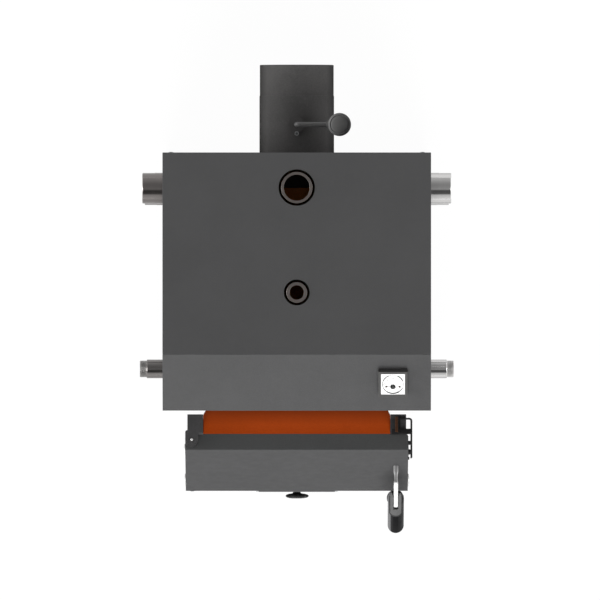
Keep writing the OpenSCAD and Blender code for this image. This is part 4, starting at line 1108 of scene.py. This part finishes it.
# Needle: a round hub with a thin pointer, and its pin
needle_spot = on_dial(0, 0, dial_top + 0.5)
hub = turned([(0, 0), (4.9, 0), (4.9, 0.6), (4.5, 0.95), (1.6, 1.0), (1.2, 0.85), (0, 0.85)], needle_spot, 48)
add(hub, plate_of([(-15, -0.1), (-15, 0.1), (-3, 0.3), (-3, -0.3)], 0.5, needle_spot, 0.05, 1))
finished("gauge_needle", "gauge_pointer", hub, needle_plastic)
needle_pin = turned([(0, 0), (0.9, 0), (0.8, 0.25), (0, 0.3)], needle_spot @ at(0, 0, 0.75), 24)
piece("gauge_pointer_pin", needle_pin, spindle_steel, "needle")

# Floor: near white to the camera and in reflections, and a plain pale surface to all other light
pale = Finish("pale_floor", (0.9, 0.9, 0.9), 0.9)
rays = pale.node("ShaderNodeLightPath").outputs
seen = pale.calculated("MAXIMUM", rays["Is Camera Ray"], rays["Is Glossy Ray"])
seen = pale.calculated("MAXIMUM", seen, rays["Is Transmission Ray"])
white = pale.node("ShaderNodeEmission")
white.inputs["Color"].default_value = (1, 1, 1, 1)
white.inputs["Strength"].default_value = 1.04
mixed = pale.node("ShaderNodeMixShader")
pale.join(pale.calculated("MULTIPLY", seen, 0.92), mixed.inputs["Fac"])
pale.join(pale.shader.outputs[0], mixed.inputs[1])
pale.join(white.outputs[0], mixed.inputs[2])
pale.join(mixed.outputs[0], pale.tree.nodes["Material Output"].inputs["Surface"])
floor_bm = bmesh.new()
bmesh.ops.create_grid(floor_bm, x_segments=1, y_segments=1, size=60)
floor_mesh = bpy.data.meshes.new("floor")
floor_bm.to_mesh(floor_mesh)
floor_bm.free()
floor_mesh.materials.append(pale.material)
floor = bpy.data.objects.new("floor", floor_mesh)
floor.location.z = -0.001
scene.collection.objects.link(floor)

# Sky: paler to the horizon and to the front, with a dark patch before the zenith
world = bpy.data.worlds.new("studio")
scene.world = world
world.use_nodes = True
sky = Wiring(world.node_tree, "Generated")
stops = ((0.0, 1.0), (0.03, 1.0), (0.06, 0.42), (0.45, 0.34), (0.8, 0.226), (1.0, 0.18))
ramp = sky.node("ShaderNodeValToRGB")
sky.join(sky.place_along("Z"), ramp.inputs["Fac"])
ramp.color_ramp.elements.remove(ramp.color_ramp.elements[1])
for i, (place, value) in enumerate(stops):
    stop = ramp.color_ramp.elements[0] if i == 0 else ramp.color_ramp.elements.new(place)
    stop.position = place
    stop.color = (value, value, value, 1)
to_patch = sky.node("ShaderNodeVectorMath", operation="DOT_PRODUCT")
sky.join(sky.place, to_patch.inputs[0])
to_patch.inputs[1].default_value = (0, -0.5, 0.866)
patch = sky.spread(to_patch.outputs["Value"], 1.0, 0.2, 0.93, 0.975)
front = sky.spread(sky.place_along("Y"), 1.53, 1.0, -0.4, 0.4)
background = sky.tree.nodes["Background"]
sky.join(ramp.outputs["Color"], background.inputs["Color"])
sky.join(sky.calculated("MULTIPLY", patch, front), background.inputs["Strength"])


# Lamps
def lamp(name, strength, spread, direction, in_gloss=True):
    """A broad even light that comes from a direction."""
    made = bpy.data.objects.new(name, bpy.data.lights.new(name, "SUN"))
    made.data.energy = strength
    made.data.angle = math.radians(spread)
    made.rotation_mode = "QUATERNION"
    made.rotation_quaternion = Vector(direction).to_track_quat("Z", "Y")
    made.visible_glossy = in_gloss
    scene.collection.objects.link(made)
    return made


key_height = math.radians(51)
key = lamp("front_light", 3.0, 45, (0, -math.sin(key_height), math.cos(key_height)), False)
lamp("left_light", 1.3, 30, (-0.97, -0.05, 0.24))
lamp("right_light", 0.45, 30, (0.97, -0.05, 0.24))

# A window at the left for the handles and the damper's knob alone, whose dark plastic shows little else
window = lamp("left_window", 5.0, 30, (-0.93, 0.12, 0.34))
by_window = bpy.data.collections.new("lit_by_left_window")
for door in ("loading", "lower"):
    for part in ("body", "seat", "rim"):
        by_window.objects.link(bpy.data.objects[f"{door}_handle_grip_{part}"])
by_window.objects.link(bpy.data.objects["damper_hand_knob"])
window.light_linking.receiver_collection = by_window

# The door's own edge would shade the neck behind it, so the front light passes the loading door
passing = bpy.data.collections.new("passed_by_front_light")
for part in ("sheet", "gasket", "casting"):
    passing.objects.link(bpy.data.objects[f"loading_door_{part}"])
passing.objects.link(nodes["loading_door_board"])
key.light_linking.blocker_collection = passing
for item in passing.collection_objects:
    item.light_linking.link_state = "EXCLUDE"
scene.view_settings.view_transform = "Standard"
